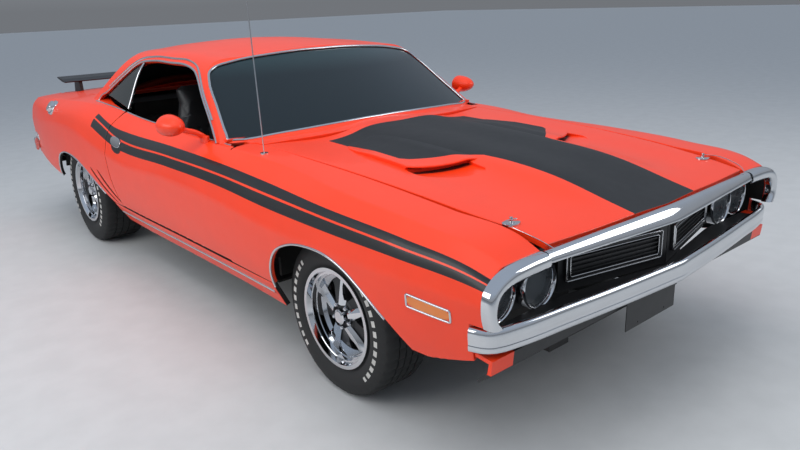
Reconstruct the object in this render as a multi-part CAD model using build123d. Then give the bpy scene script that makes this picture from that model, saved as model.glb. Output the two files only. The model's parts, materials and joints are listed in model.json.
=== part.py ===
from build123d import *
import os

os.makedirs("parts", exist_ok=True)

# Frame: X to the car's left, Y rearwards, Z up, origin on the ground under the middle of the length.
# A station is a distance behind the front axle, so Y = station - AXLE_TO_ORIGIN.
AXLE_TO_ORIGIN = 1450.0
WHEELBASE = 2794.0

# Wheels and tyres
RIM_SEAT_R = 190.5
RIM_FLANGE_R = 207.5
RIM_WALL = 12.0
RIM_STEP_WIDE, RIM_STEP_HIGH = 20.0, 7.0
BEAD_CLEAR, FLANGE_THICK = 6.0, 6.0
FRONT_TYRE_R, FRONT_TYRE_W, FRONT_WHEEL_X = 325.0, 238.0, 742.0
REAR_TYRE_R, REAR_TYRE_W, REAR_WHEEL_X = 347.0, 280.0, 758.0
SPOKES = 5
SPOKE_DISH, SPOKE_DEEP, DISH_THICK = 34.0, 26.0, 7.0
SPOKE_FOOT, SPOKE_CREST, SPOKE_RISE = 27.0, 11.0, 15.0
HUB_R, CAP_R, CAP_LONG = 62.0, 31.0, 26.0
SPINDLE_R = 26.0
RUN_CLEAR = 0.3
KINGPIN_X, KINGPIN_R = 690.0, 9.0
KNUCKLE_LOW, KNUCKLE_HIGH = 200.0, 450.0

# Panels and gaps
PANEL = 26.0
DOOR_SKIN = 25.0
DOOR_THICK = 92.0
DOOR_RIM = 26.0
SHOULDER_OUT, SHOULDER_DOWN = 0.58, 0.28
GAP = 9.0
LID_GAP = 7.0
COWL_GAP = 11.0
LID_HINGE_X, LID_HINGE_WIDE, LID_HINGE_R, LID_PIN_R = 655.0, 30.0, 8.0, 4.0
HOOD_PIN_STATION, HOOD_PIN_Z = 712.0, 895.0
DECK_PIN_STATION, DECK_PIN_Z = 3040.0, 958.0
DOOR_PIN_X, DOOR_PIN_STATION, DOOR_PIN_Z, DOOR_PIN_R = 934.0, 745.0, 670.0, 4.0
DOOR_ARM_HALF, DOOR_ARM_RISE, DOOR_PIN_RISE, SWING_CLEAR = 6.0, 17.0, 48.0, 5.0
HOOD_THICK = 26.0
ROOF_THICK = 24.0
PILLAR_FOOT_Z = 921.0
FLOOR_LOW, FLOOR_TOP, MUFFLER_HALF_Z = 262.0, 274.0, 45.0
TUNNEL_TOP = 430.0
GLASS = 5.0
SEAT_CLEAR = 0.3

# Side of the body. Columns: station, lid-gap x, z, crown x, z, crease x, z, low x, z, foot x, z
SIDE = [
    (-852, 672, 776, 842, 770, 922, 668, 900, 500, 880, 380),
    (-800, 672, 799, 850, 790, 928, 669, 905, 490, 880, 370),
    (-500, 690, 838, 862, 829, 950, 670, 932, 470, 890, 330),
    (-100, 698, 872, 856, 853, 956, 664, 938, 450, 880, 280),
    (350, 701, 893, 806, 873, 953, 666, 925, 425, 850, 262),
    (650, 703, 903, 826, 893, 955, 690, 922, 420, 842, 262),
    (1250, 740, 908, 822, 904, 956, 707, 920, 418, 840, 262),
    (1900, 740, 925, 812, 918, 957, 693, 924, 418, 842, 262),
    (2200, 735, 945, 815, 938, 961, 735, 932, 430, 845, 270),
    (2600, 700, 965, 850, 950, 966, 800, 945, 440, 860, 300),
    (3000, 680, 958, 872, 938, 963, 800, 940, 450, 880, 330),
    (3500, 672, 930, 862, 913, 935, 766, 918, 465, 890, 380),
    (3835, 660, 905, 826, 888, 893, 743, 880, 500, 860, 430),
]

# Greenhouse. Columns: station, belt x, z, rail x, z, roof middle z
ROOF = [
    (640, 836, 896, 676, 1168, 1226),
    (1250, 818, 900, 657, 1212, 1284),
    (1900, 806, 915, 646, 1230, 1312),
    (2450, 790, 935, 632, 1212, 1281),
    (3060, 752, 950, 606, 1140, 1212),
]

# Hood. Columns: station, edge z, bulge foot z, bulge shoulder z, middle z
HOOD = [
    (-930, 770, 776, 778, 779),
    (-800, 799, 804, 808, 810),
    (-560, 831, 845, 862, 866),
    (-100, 872, 886, 905, 911),
    (350, 893, 909, 926, 933),
    (690, 904, 918, 934, 941),
]
BULGE_FOOT_X, BULGE_SHOULDER_X = 300.0, 240.0
HOOD_REAR_MID, HOOD_REAR_END, HOOD_REAR_X = 600.0, 696.0, 720.0
HOOD_FRONT_MID, HOOD_FRONT_END = -888.0, -852.0
HOOD_FRONT_X = 666.0

# Raised middle of the hood, ending forward in two scoops. Outline points are (x, station).
RAISE_HIGH, RAISE_REAR, RAISE_INNER = 18.0, 446.0, 200.0
SCOOP_MOUTH = [(300, -334), (526, -195)]
SCOOP_LIP = [(285, -194), (520, -90)]
SCOOP_BACK = [(272, -160), (505, -58)]
SCOOP_DEPTH, SCOOP_LIP_THICK = 14.0, 9.0

# Slanted louvres ahead of the rear wheel. Each is (top station, bottom station).
LOUVRES = [(2405, 2094), (2289, 1997)]
LOUVRE_TOP, LOUVRE_LOW, LOUVRE_WIDE, LOUVRE_DEPTH = 588.0, 406.0, 24.0, 12.0

# Door handle, a plate set in the skin with a finger recess over it
HANDLE_FRONT, HANDLE_REAR, HANDLE_LOW, HANDLE_HIGH = 1868.0, 1998.0, 768.0, 826.0
HANDLE_PROUD, HANDLE_POCKET = 4.0, 14.0

# Decklid. Columns: station, edge z, middle z
DECK = [(3050, 955, 966), (3500, 930, 945), (3800, 908, 922)]

# Door outline in the side view, front edge then rear edge. Columns: station, z
DOOR_OUTLINE = [
    (770, 960), (745, 890), (682, 828), (662, 750), (668, 640), (684, 520), (700, 402),
    (2010, 402), (2062, 560), (2080, 700), (2080, 960),
]
FRONT_ARCH = [(350, 150), (322, 460), (190, 622), (-110, 655), (-330, 572), (-545, 405), (-620, 150)]
REAR_ARCH = [(WHEELBASE + d, z) for d, z in ((396, 150), (356, 440), (236, 585), (36, 622), (-194, 608),
                                             (-354, 530), (-549, 445), (-644, 150))]
LOWER_LINE = [(-600, 412), (-880, 495), (-880, 100), (-600, 100)]
LOWER_REAR = [(3170, 410), (3900, 500), (3900, 100), (3170, 100)]
ROCKER_TOP, ROCKER_FRONT = 394.0, 352.0
FENDER_NOSE = -796.0
LAMP_BACK = -725.0

# Windscreen and rear window: bent about an axis that lies along the slope of the glass
SCREEN_FOOT, SCREEN_HEAD, SCREEN_BEND = (700.0, 940.0), (1170.0, 1258.0), 2800.0
BACK_FOOT, BACK_HEAD, BACK_BEND = (2975.0, 975.0), (2450.0, 1254.0), 2400.0


def at(station):
    """Y of a station."""
    return station - AXLE_TO_ORIGIN


def row_at(table, station):
    """Columns of a station table at any station, straight between its rows."""
    for low, high in zip(table, table[1:]):
        if station <= high[0]:
            break
    share = (station - low[0]) / (high[0] - low[0])
    return [a + (b - a) * share for a, b in zip(low[1:], high[1:])]


def stations(table, first, last):
    """The stations of a table between two ends, ends included."""
    return [first] + [row[0] for row in table if first + 20 < row[0] < last - 20] + [last]


def section(station, points):
    """A closed flat face across the car from (x, z) points."""
    return Face(Wire.make_polygon([Vector(x, at(station), z) for x, z in points], close=True))


def loft_sections(faces):
    """One solid through sections."""
    return Solid.make_loft([face.outer_wire() for face in faces], True)


def side_prism(points, x_from, x_to, round_r=0.0):
    """A prism across the car whose outline is given as (station, z)."""
    outline = make_face(Polyline(*[(at(s), z) for s, z in points], close=True))
    if round_r:
        outline = fillet(outline.vertices(), round_r)
    return extrude(Plane.YZ.offset(x_from) * outline, amount=x_to - x_from)


def plan_prism(points, z_from, z_to):
    """An upright prism whose outline is given as (x, station)."""
    outline = make_face(Polyline(*[(x, at(s)) for x, s in points], close=True))
    return extrude(Plane.XY.offset(z_from) * outline, amount=z_to - z_from)


def block(x_from, x_to, s_from, s_to, z_from, z_to):
    """A box between two values on each axis, its length given as stations."""
    size = (x_to - x_from, s_to - s_from, z_to - z_from)
    middle = ((x_from + x_to) / 2, at((s_from + s_to) / 2), (z_from + z_to) / 2)
    return Pos(*middle) * Box(*size)


def rod(start, end, radius):
    """A round bar between two (x, station, z) points."""
    a, b = (Vector(p[0], at(p[1]), p[2]) for p in (start, end))
    return Solid.make_cylinder(radius, (b - a).length, Plane(origin=a, z_dir=b - a))


def other_side(shape):
    """The same piece on the other side of the car."""
    return mirror(shape, about=Plane.YZ)


def both_sides(shape):
    """A piece and its mirror image in one shape."""
    return Compound([shape, other_side(shape)])


def save(name, shape):
    """Writes one sub-part."""
    export_step(shape, f"parts/{name}.step")


def side_wall(first, last, thick, top_flange):
    """The left body side between two stations, with its top flange reaching in to the lid gap."""
    faces = []
    for s in stations(SIDE, first, last):
        gap_x, gap_z, crown_x, crown_z, crease_x, crease_z, low_x, low_z, foot_x, foot_z = row_at(SIDE, s)
        shoulder = (crown_x + SHOULDER_OUT * (crease_x - crown_x), crown_z - SHOULDER_DOWN * (crown_z - crease_z))
        outer = [(crown_x, crown_z), shoulder, (crease_x, crease_z), (low_x, low_z), (foot_x, foot_z)]
        inner = [(x - thick, z) for x, z in reversed(outer)]
        if top_flange:
            inner[-1] = (crown_x - thick * 0.8, crown_z - PANEL)
            inner += [(gap_x, gap_z - PANEL), (gap_x, gap_z)]
        faces.append(section(s, outer + inner))
    return loft_sections(faces)


def largest(shape):
    """The biggest solid of a shape, after cuts that leave slivers."""
    return max(shape.solids(), key=lambda solid: solid.volume)


def seat_on(shape, carrier, lift=(0, 0, SEAT_CLEAR)):
    """A piece cut to the form of what carries it, with the seat's clearance between them."""
    return largest(shape - Pos(*lift) * carrier)


def grow(points, amount):
    """A side-view outline moved out by an amount, as a face in the side view."""
    outline = make_face(Polyline(*[(at(s), z) for s, z in points], close=True))
    if amount:
        outline = offset(outline, amount=amount, kind=Kind.INTERSECTION)
    return outline


def door_prism(amount):
    """The door's outline across the left half, moved out by an amount."""
    return extrude(Plane.YZ.offset(300) * grow(DOOR_OUTLINE, amount), amount=900)


def lid_knuckle(s, z, reach):
    """The left hinge eye of a lid: a strap out to a barrel round the pin."""
    half = LID_HINGE_WIDE / 2
    barrel = rod((LID_HINGE_X - half, s, z), (LID_HINGE_X + half, s, z), LID_HINGE_R)
    first, last = sorted((s, s + reach))
    strap = block(LID_HINGE_X - half, LID_HINGE_X + half, first, last, z - 3, z + 3)
    bore = rod((LID_HINGE_X - 60, s, z), (LID_HINGE_X + 60, s, z), LID_PIN_R + RUN_CLEAR)
    return barrel + strap - bore


def lid_notch(s, z, forward):
    """The pocket in the fixed panel round a lid's hinge eye."""
    half = LID_HINGE_WIDE / 2 + LID_GAP
    first, last = (s - 30, s + 16) if forward else (s - 16, s + 30)
    return block(LID_HINGE_X - half, LID_HINGE_X + half, first, last, z - 60, z + 60)


def lid_pin(s, z):
    """The hinge pin across a notch."""
    half = LID_HINGE_WIDE / 2 + LID_GAP + 3
    return rod((LID_HINGE_X - half, s, z), (LID_HINGE_X + half, s, z), LID_PIN_R)


MARKERS = [((925, -730, 572), (947, -560, 612)), ((884, 3690, 572), (908, 3750, 612))]


def marker(low, high, clear=0.0):
    """One side marker lamp, grown by a clearance where it is cut from the panel."""
    return block(low[0] - clear, high[0] + clear, low[1] - clear, high[1] + clear, low[2] - clear, high[2] + clear)


def door_hinge_pocket():
    """The space in the left door for its hinge arm at every angle, and the bore for the pin."""
    x, s, wide = DOOR_PIN_X, DOOR_PIN_STATION, DOOR_ARM_HALF + SWING_CLEAR
    plan = [(x - 94, s - 145), (x - 9, s - 145), (x - 9, s - 49), (x + wide - 1, s - 5), (x + wide, s + 2),
            (x + 7, s + 10), (x, s + wide + 1), (x - 94, s + wide + 1)]
    rise = DOOR_ARM_RISE + SWING_CLEAR
    bore = rod((x, s, DOOR_PIN_Z - DOOR_PIN_RISE - 2), (x, s, DOOR_PIN_Z + DOOR_PIN_RISE + 2), DOOR_PIN_R + RUN_CLEAR)
    return plan_prism(plan, DOOR_PIN_Z - rise, DOOR_PIN_Z + rise) + bore


def door_hinge_arm():
    """The left hinge arm, from the post ahead of the door round to the upright pin inside it."""
    x, s, z, half = DOOR_PIN_X, DOOR_PIN_STATION, DOOR_PIN_Z, DOOR_ARM_HALF
    low, high = z - DOOR_ARM_RISE, z + DOOR_ARM_RISE
    arm = block(790, x, s - half, s + half, low, high) + block(790, 790 + 2 * half, 630, s + half, low, high)
    arm += rod((x, s, low), (x, s, high), half)
    return arm + rod((x, s, z - DOOR_PIN_RISE), (x, s, z + DOOR_PIN_RISE), DOOR_PIN_R)


def make_door():
    """The left door: a skin with a thicker inner pressing set in from its edge, and a mirror."""
    skin = side_wall(560, 2120, DOOR_SKIN, False) & door_prism(0)
    pressing = side_wall(560, 2120, DOOR_THICK, False) & door_prism(-DOOR_RIM)
    door = skin + pressing
    foot_s, foot_z = 1010, 905
    stalk = loft_sections([
        section(foot_s - 30, [(812, 880), (840, 880), (830, 940), (818, 940)]),
        section(foot_s + 40, [(812, 880), (840, 880), (830, 940), (818, 940)]),
    ])
    arm = rod((822, 1014, 920), (945, 1048, 978), 14)
    half = make_face(Polyline((0, -78), (20, -75), (40, -62), (54, -40), (62, -8), (62, 34), (56, 38), (54, 28), (0, 28),
                              close=True))
    shell = Pos(962, at(1062), 985) * revolve(half, axis=Axis.Y)
    corners = [(HANDLE_FRONT, HANDLE_LOW), (HANDLE_REAR, HANDLE_LOW), (HANDLE_REAR, HANDLE_HIGH),
               (HANDLE_FRONT, HANDLE_HIGH)]
    handle = side_prism(corners, 880, 1000, 12) & (Pos(HANDLE_PROUD, 0, 0) * skin)
    middle = (HANDLE_LOW + HANDLE_HIGH) / 2
    finger = side_prism([(HANDLE_FRONT + 12, middle), (HANDLE_REAR - 12, middle), (HANDLE_REAR - 12, HANDLE_HIGH - 8),
                         (HANDLE_FRONT + 12, HANDLE_HIGH - 8)], 880, 1000, 8)
    finger -= Pos(-HANDLE_POCKET, 0, 0) * skin
    return door + stalk + arm + shell + handle - finger - door_hinge_pocket()


def make_fender():
    """The left front fender, cut to the door's front edge, the wheel arch and the lower line."""
    wall = side_wall(HOOD_FRONT_END, 860, PANEL, True)
    wall -= door_prism(GAP)
    wall -= side_prism(FRONT_ARCH, 300, 1200, 55)
    wall -= side_prism(LOWER_LINE, 300, 1200)
    wall -= block(600, 1100, 330, 900, 100, ROCKER_TOP)
    wall -= block(600, 1100, HOOD_FRONT_END - 1, FENDER_NOSE, 300, 598)
    for low, high in MARKERS[:1]:
        wall -= marker(low, high, SEAT_CLEAR)
    return largest(wall)


def make_quarter():
    """The left rear quarter, cut to the door's rear edge, the wheel arch and the lower line."""
    wall = side_wall(1960, 3835, PANEL + 6, True)
    wall -= door_prism(GAP)
    wall -= side_prism(REAR_ARCH, 300, 1200, 50)
    wall -= side_prism(LOWER_REAR, 300, 1200)
    wall -= block(600, 1100, 1900, 2200, 100, ROCKER_TOP)
    wall -= block(300, 757, 1900, 2600, 700, 1000)
    for low, high in MARKERS[1:]:
        wall -= marker(low, high, SEAT_CLEAR)
    slots = []
    for top, low in LOUVRES:
        slots.append(side_prism([(top, LOUVRE_TOP), (low, LOUVRE_LOW), (low + LOUVRE_WIDE, LOUVRE_LOW),
                                 (top + LOUVRE_WIDE, LOUVRE_TOP)], 912, 1000))
    return largest(wall - (slots[0] + slots[1] - Pos(-LOUVRE_DEPTH, 0, 0) * wall))


def make_rocker():
    """The left sill, a box below the door that carries the body side's tuck-under."""
    wall = side_wall(ROCKER_FRONT, 2180, 110, False) - block(600, 815, 300, ROCKER_FRONT + 22, 200, 500)
    return wall & block(600, 1100, 300, 2300, 200, ROCKER_TOP - SEAT_CLEAR)


def greenhouse(inset):
    """The greenhouse as a filled form, its faces moved in by an inset."""
    faces = []
    for s, belt_x, belt_z, rail_x, rail_z, top_z in ROOF:
        half = [(belt_x - inset, belt_z), (rail_x - inset, rail_z - inset * 0.6)]
        crown = [(rail_x * 0.62, rail_z + (top_z - rail_z) * 0.68 - inset), (0, top_z - inset)]
        side = half + crown
        faces.append(section(s, side + [(-x, z) for x, z in reversed(side[:-1])]))
    return loft_sections(faces)


def glass_drum(foot, head, bend, inset):
    """A long drum whose surface is the windscreen or rear window, moved in by an inset."""
    (s0, z0), (s1, z1) = foot, head
    along = Vector(0, s1 - s0, z1 - z0).normalized()
    inward = Vector(0, along.Z, -along.Y) if s1 > s0 else Vector(0, -along.Z, along.Y)
    start = Vector(0, at(s0), z0) - along * 1200 + inward * bend
    return Solid.make_cylinder(bend - inset, 4600, Plane(origin=start, z_dir=along))


SCREEN = (SCREEN_FOOT, SCREEN_HEAD, SCREEN_BEND)
BACK = (BACK_FOOT, BACK_HEAD, BACK_BEND)


SIDE_WINDOW = [(905, 850), (930, 918), (1345, 1190), (1500, 1218), (1950, 1222), (2110, 1205), (2600, 968),
               (2620, 850)]
SCREEN_SILL_Z, BACK_SILL_Z = 954.0, 1000.0
SCREEN_FRAME, BACK_FRAME = 34.0, 52.0


def window_prism(points, shrink):
    """A window's side-view outline across the whole car, shrunk for the glass that seats in it."""
    return extrude(Plane.YZ.offset(-1000) * grow(points, -shrink), amount=2000)


def bent_window(drum, frame, sill_z, outside, inside):
    """The part of a bent window's layer between two depths, framed by roof, pillars and sill."""
    layer = glass_drum(*drum, outside) - glass_drum(*drum, inside)
    return layer & greenhouse(frame) & block(-900, 900, 500, 3300, sill_z, 1400)


def make_roof(quarter, structure):
    """Roof, windscreen pillars, rear pillars and the panel below the rear window, windows cut."""
    outer = greenhouse(0) & glass_drum(*SCREEN, 0) & glass_drum(*BACK, 0)
    inner = greenhouse(ROOF_THICK) & glass_drum(*SCREEN, ROOF_THICK) & glass_drum(*BACK, ROOF_THICK)
    shell = outer - inner
    shell -= window_prism(SIDE_WINDOW, 0)
    shell -= bent_window(SCREEN, SCREEN_FRAME, SCREEN_SILL_Z, -6, ROOF_THICK + 4)
    shell -= bent_window(BACK, BACK_FRAME, BACK_SILL_Z, -6, ROOF_THICK + 4)
    shell -= block(-1000, 1000, 500, 2600, 700, PILLAR_FOOT_Z)
    shell -= block(-1000, 1000, 2590, 3300, 700, 944)
    faces = []
    for s in (2900, DECK[0][0] - GAP):
        top = [(672, 957), (300, 961), (0, 962), (-300, 961), (-672, 957)]
        faces.append(section(s, top + [(x, z - 16) for x, z in reversed(top)]))
    filler = loft_sections(faces) - (greenhouse(ROOF_THICK) & glass_drum(*BACK, ROOF_THICK))
    notch, pin = lid_notch(DECK_PIN_STATION, DECK_PIN_Z, False), lid_pin(DECK_PIN_STATION, DECK_PIN_Z)
    filler = filler - notch - other_side(notch) + pin + other_side(pin)
    shell = shell + filler
    shell = shell - Pos(0, 0, SEAT_CLEAR) * quarter - Pos(0, 0, SEAT_CLEAR) * other_side(quarter)
    return largest(shell - Pos(0, 0, SEAT_CLEAR) * structure)


def make_glass():
    """Windscreen, rear window and the two quarter windows."""
    screen = bent_window(SCREEN, SCREEN_FRAME + SEAT_CLEAR, SCREEN_SILL_Z + SEAT_CLEAR, 8, 8 + GLASS)
    back = bent_window(BACK, BACK_FRAME + SEAT_CLEAR, BACK_SILL_Z + SEAT_CLEAR, 8, 8 + GLASS)
    quarter = (greenhouse(8) - greenhouse(8 + GLASS)) & side_prism(
        [(2070, 942), (2052, 1211), (2108, 1204), (2572, 981), (2560, 967)], 0, 1000)
    quarter = largest(quarter)
    return Compound([largest(screen), largest(back), quarter, other_side(quarter)])


def hood_profile(s):
    """The top of the hood across one station, from the edge to the middle."""
    edge_z, foot_z, shoulder_z, mid_z = row_at(HOOD, s)
    edge_x = row_at(SIDE, max(s, SIDE[0][0]))[0] - LID_GAP
    return [(edge_x, edge_z), (BULGE_FOOT_X, foot_z), (BULGE_SHOULDER_X, shoulder_z), (0, mid_z)]


def hood_z(x, s):
    """Height of the hood at a plan point, its raised middle left out."""
    profile = hood_profile(s)
    for (x0, z0), (x1, z1) in zip(profile, profile[1:]):
        if x >= x1:
            break
    return z0 + (z1 - z0) * (x0 - x) / (x0 - x1)


def hood_region(gap):
    """All that lies ahead of the arc of the hood's rear edge, moved back by a gap."""
    end, mid = at(HOOD_REAR_END + gap), at(HOOD_REAR_MID + gap)
    arc = ThreePointArc((-HOOD_REAR_X, end), (0, mid), (HOOD_REAR_X, end))
    sides = Polyline((HOOD_REAR_X, end), (HOOD_REAR_X, at(-1000)), (-HOOD_REAR_X, at(-1000)), (-HOOD_REAR_X, end))
    return extrude(Plane.XY.offset(700) * make_face(arc + sides), amount=400)


def scoop_gate(line, low, high):
    """An upright four-cornered outline over a plan line, low and high above the hood beside the bulge."""
    (x0, s0), (x1, s1) = line
    z0, z1 = hood_z(x0 if x0 > BULGE_FOOT_X else BULGE_FOOT_X, s0), hood_z(x1, s1)
    return Wire.make_polygon([Vector(x0, at(s0), z0 + low), Vector(x1, at(s1), z1 + low),
                              Vector(x1, at(s1), z1 + high), Vector(x0, at(s0), z0 + high)], close=True)


def make_scoop():
    """What is cut from the hood for the left scoop: a ramp down to a slot under the raised middle's lip."""
    roof = RAISE_HIGH - SCOOP_LIP_THICK
    ramp = Solid.make_loft([scoop_gate(SCOOP_MOUTH, 1, 70), scoop_gate(SCOOP_LIP, -SCOOP_DEPTH, 70)], True)
    slot = Solid.make_loft([scoop_gate(SCOOP_LIP, -SCOOP_DEPTH, roof),
                            scoop_gate(SCOOP_BACK, 4 - SCOOP_DEPTH, roof - 2)], True)
    return ramp, slot


def make_hood():
    """The hood: one crowned panel with a raised middle that ends in two scoops facing forward."""
    faces = []
    for row in HOOD:
        half = hood_profile(row[0])
        top = half + [(-x, z) for x, z in reversed(half[:-1])]
        faces.append(section(row[0], top + [(x, z - HOOD_THICK) for x, z in reversed(top)]))
    front = [(-HOOD_FRONT_X, HOOD_FRONT_END), (0, HOOD_FRONT_MID), (HOOD_FRONT_X, HOOD_FRONT_END),
             (HOOD_FRONT_X, -1000), (-HOOD_FRONT_X, -1000)]
    hood = (loft_sections(faces) & hood_region(0)) - plan_prism(front, 700, 1100)
    faces = []
    for s, rise in ((-220, RAISE_HIGH), (200, RAISE_HIGH - 2), (RAISE_REAR, -1)):
        outer, foot, inner = (hood_z(x, s) for x in (560, BULGE_FOOT_X, RAISE_INNER))
        faces.append(section(s, [(560, outer - 12), (560, outer + rise), (BULGE_FOOT_X, foot + rise),
                                 (RAISE_INNER, inner - 4), (RAISE_INNER, inner - 16)]))
    outline = [(RAISE_INNER, RAISE_REAR), (490, RAISE_REAR), (505, -20), SCOOP_LIP[1], (250, -210),
               (RAISE_INNER, -210)]
    raised = loft_sections(faces) & plan_prism(outline, 700, 1100)
    hood = hood + raised + other_side(raised)
    for cut in make_scoop():
        hood = hood - cut - other_side(cut)
    knuckle = lid_knuckle(HOOD_PIN_STATION, HOOD_PIN_Z, -60)
    return hood + knuckle + other_side(knuckle)


def make_hood_brightwork(hood):
    """The bright front edge of the hood and the two hood pins on their plates."""
    wires = []
    for x, back, z, reach, drop in ((-HOOD_FRONT_X, HOOD_FRONT_END, 775, 40, 31), (0, HOOD_FRONT_MID, 785, 55, 50),
                                    (HOOD_FRONT_X, HOOD_FRONT_END, 775, 40, 31)):
        points = [(back, z - 20), (back, z - 1), (back - 14, z), (back - 26, z - 6), (back - reach, z - drop),
                  (back - reach + 8, z - drop - 3)]
        wires.append(Wire.make_polygon([Vector(x, at(s), height) for s, height in points], close=True))
    moulding = Solid.make_loft(wires[:2], True) + Solid.make_loft(wires[1:], True)
    plate = rod((622, -695, 812), (622, -695, 822), 30) + rod((622, -695, 815), (622, -695, 838), 7)
    plate = seat_on(plate, hood)
    return Compound([seat_on(moulding, hood, (0, -SEAT_CLEAR, 0)), plate, other_side(plate)])


def make_nose_mouldings():
    """The bright ends of the nose, bent down round the outer lamps."""
    outer = make_face(Polyline((672, 774), (845, 768), (926, 730), (934, 660), (922, 600), (850, 600),
                               (850, 614), (898, 626), (904, 664), (880, 712), (820, 722), (672, 722), close=True))
    end = extrude(Plane.XZ.offset(-at(HOOD_FRONT_END - SEAT_CLEAR)) * outer, amount=44)
    return both_sides(end)


def make_bumper(front, carrier):
    """A bumper swept along its plan, with bent ends and two brackets that reach back to the body."""
    if front:
        mid, corner, end, corner_x, end_x, z, high = -971.5, -884.0, -800.0, 878.0, 934.0, 550.0, 80.0
    else:
        mid, corner, end, corner_x, end_x, z, high = 3866.0, 3862.0, 3775.0, 915.0, 922.0, 548.0, 92.0
    plan = [(-end_x, end), (-corner_x, corner), (0, mid), (corner_x, corner), (end_x, end)]
    path = FilletPolyline(*[(x, at(s), z) for x, s in plan], radius=[40, 900, 40])
    plane = Plane(origin=path @ 0, z_dir=path % 0)
    upright = abs(plane.x_dir.Z) > 0.5
    profile = plane * (RectangleRounded(high, 28, 9) if upright else RectangleRounded(28, high, 9))
    bar = sweep(profile, path=path)
    if front:
        arm = block(360, 420, -950, LAMP_BACK, 515, 550)
    else:
        arm = block(380, 460, 3780, 3860, 560, 585)
        bar = bar + arm + other_side(arm)
        return seat_on(bar, carrier, (0, SEAT_CLEAR, 0))
    return bar + arm + other_side(arm)


GRILLE_STATION, GRILLE_VEE = -896.0, 12.5


def make_grille():
    """Black grille in two halves that meet in a shallow vee, each with a framed inset of slats."""
    s, low, high = GRILLE_STATION, 600.0, 700.0
    half = block(3, 505, s, s + 12, 562, 722)
    half += block(40, 478, s - 12, s, low, high) - block(50, 468, s - 20, s, low + 10, high - 10)
    for slat in range(4):
        z = low + 24 + slat * 16
        half += block(50, 468, s - 9, s, z, z + 4)
    half = Pos(0, at(s), 0) * Rot(0, 0, GRILLE_VEE) * Pos(0, -at(s), 0) * half
    half &= block(1, 520, -1000, -700, 500, 800)
    return both_sides(half + block(440, 480, -788, LAMP_BACK, 640, 660))


LAMPS = [(605, -800), (785, -782)]
LAMP_Z, LAMP_R, BEZEL_R = 632.0, 73.0, 84.0
LAMP_PLATE, LAMP_PLATE_THICK = -766.0, 8.0


def make_headlamps():
    """Bowls and bezels of the four round lamps, each pair in its surround plate."""
    plate = make_face(Polyline((512, 556), (862, 556), (872, 620), (866, 690), (838, 732), (512, 732), close=True))
    half = extrude(Plane.XZ.offset(-at(LAMP_PLATE)) * plate, amount=-LAMP_PLATE_THICK)
    for x, s in LAMPS:
        half += rod((x, s, LAMP_Z), (x, LAMP_BACK, LAMP_Z), BEZEL_R)
        half -= rod((x, s - 1, LAMP_Z), (x, s + 40, LAMP_Z), LAMP_R + SEAT_CLEAR)
    return both_sides(half)


def make_lenses():
    """The four lamp glasses."""
    lenses = []
    for x, s in LAMPS:
        lens = rod((x, s + 6, LAMP_Z), (x, s + 30, LAMP_Z), LAMP_R)
        lenses += [lens, other_side(lens)]
    return Compound(lenses)


def make_front_structure():
    """Radiator support, inner aprons, rails, firewall and the painted cowl in front of the glass."""
    apron_x, wall, front = 440.0, 14.0, LAMP_BACK + SEAT_CLEAR
    half = side_prism([(front, 300), (front, 771), (-500, 800), (-100, 834), (350, 855), (600, 863), (600, 300)],
                      apron_x - wall, apron_x)
    half += block(330, apron_x, front, 600, 300, 390)
    faces = []
    for s in stations(SIDE, front, 600):
        gap_x, gap_z, crown_x, crown_z = row_at(SIDE, s)[:4]
        drop = (gap_z - crown_z) * 40 / (crown_x - PANEL * 0.8 - gap_x)
        top, low = gap_z - PANEL - SEAT_CLEAR, gap_z - PANEL - LID_GAP - SEAT_CLEAR
        faces.append(section(s, [(apron_x - wall, low), (gap_x - LID_GAP, low), (gap_x, top), (gap_x + 40, top - drop),
                                 (gap_x + 40, low - 8), (apron_x - wall, low - 8)]))
    half += loft_sections(faces)
    half += block(apron_x - wall, 868, front, front + 14, 540, 722)
    half += block(0, apron_x, front, front + 24, 320, 744) - block(-1, 340, -800, -600, 390, 700)
    half += block(0, 720, 600, 618, 300, 800) - block(-1, 200, 590, 630, 200, TUNNEL_TOP + SEAT_CLEAR)
    half += block(720, 800, 600, 640, ROCKER_TOP, 850)
    half += block(0, 700, 600, 714, 780, 800) + door_hinge_arm()
    half += extrude(section(700, [(0, 790), (700, 790), (700, 893), (BULGE_FOOT_X, 910), (0, 928)]),
                    amount=14, dir=(0, 1, 0))
    half += block(690, 724, 845, 965, 870, PILLAR_FOOT_Z - SEAT_CLEAR)
    half += block(690, 800, 850, 965, 910, PILLAR_FOOT_Z - SEAT_CLEAR)
    frame = half + other_side(half)
    edge = [(697, 600), (697, 701), (705, 703), (707, 748), (726, 756), (726, 880)]
    plan = plan_prism(edge + [(0, 757)] + [(-x, s) for x, s in reversed(edge)], 790, 1000) - hood_region(COWL_GAP)
    faces = []
    for s, edge_z, mid_z in ((560, 899, 932), (700, 904, 940), (910, 906, 944)):
        top = [(760, edge_z), (BULGE_FOOT_X, mid_z - 18), (0, mid_z)]
        top += [(-x, z) for x, z in reversed(top[:-1])]
        faces.append(section(s, top + [(x, z - 24) for x, z in reversed(top)]))
    cowl = loft_sections(faces) & plan
    notch, pin = lid_notch(HOOD_PIN_STATION, HOOD_PIN_Z, True), lid_pin(HOOD_PIN_STATION, HOOD_PIN_Z)
    whole = frame + cowl - notch - other_side(notch) + pin + other_side(pin)
    return largest(whole)


TANK_TOP = 548.0


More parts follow.
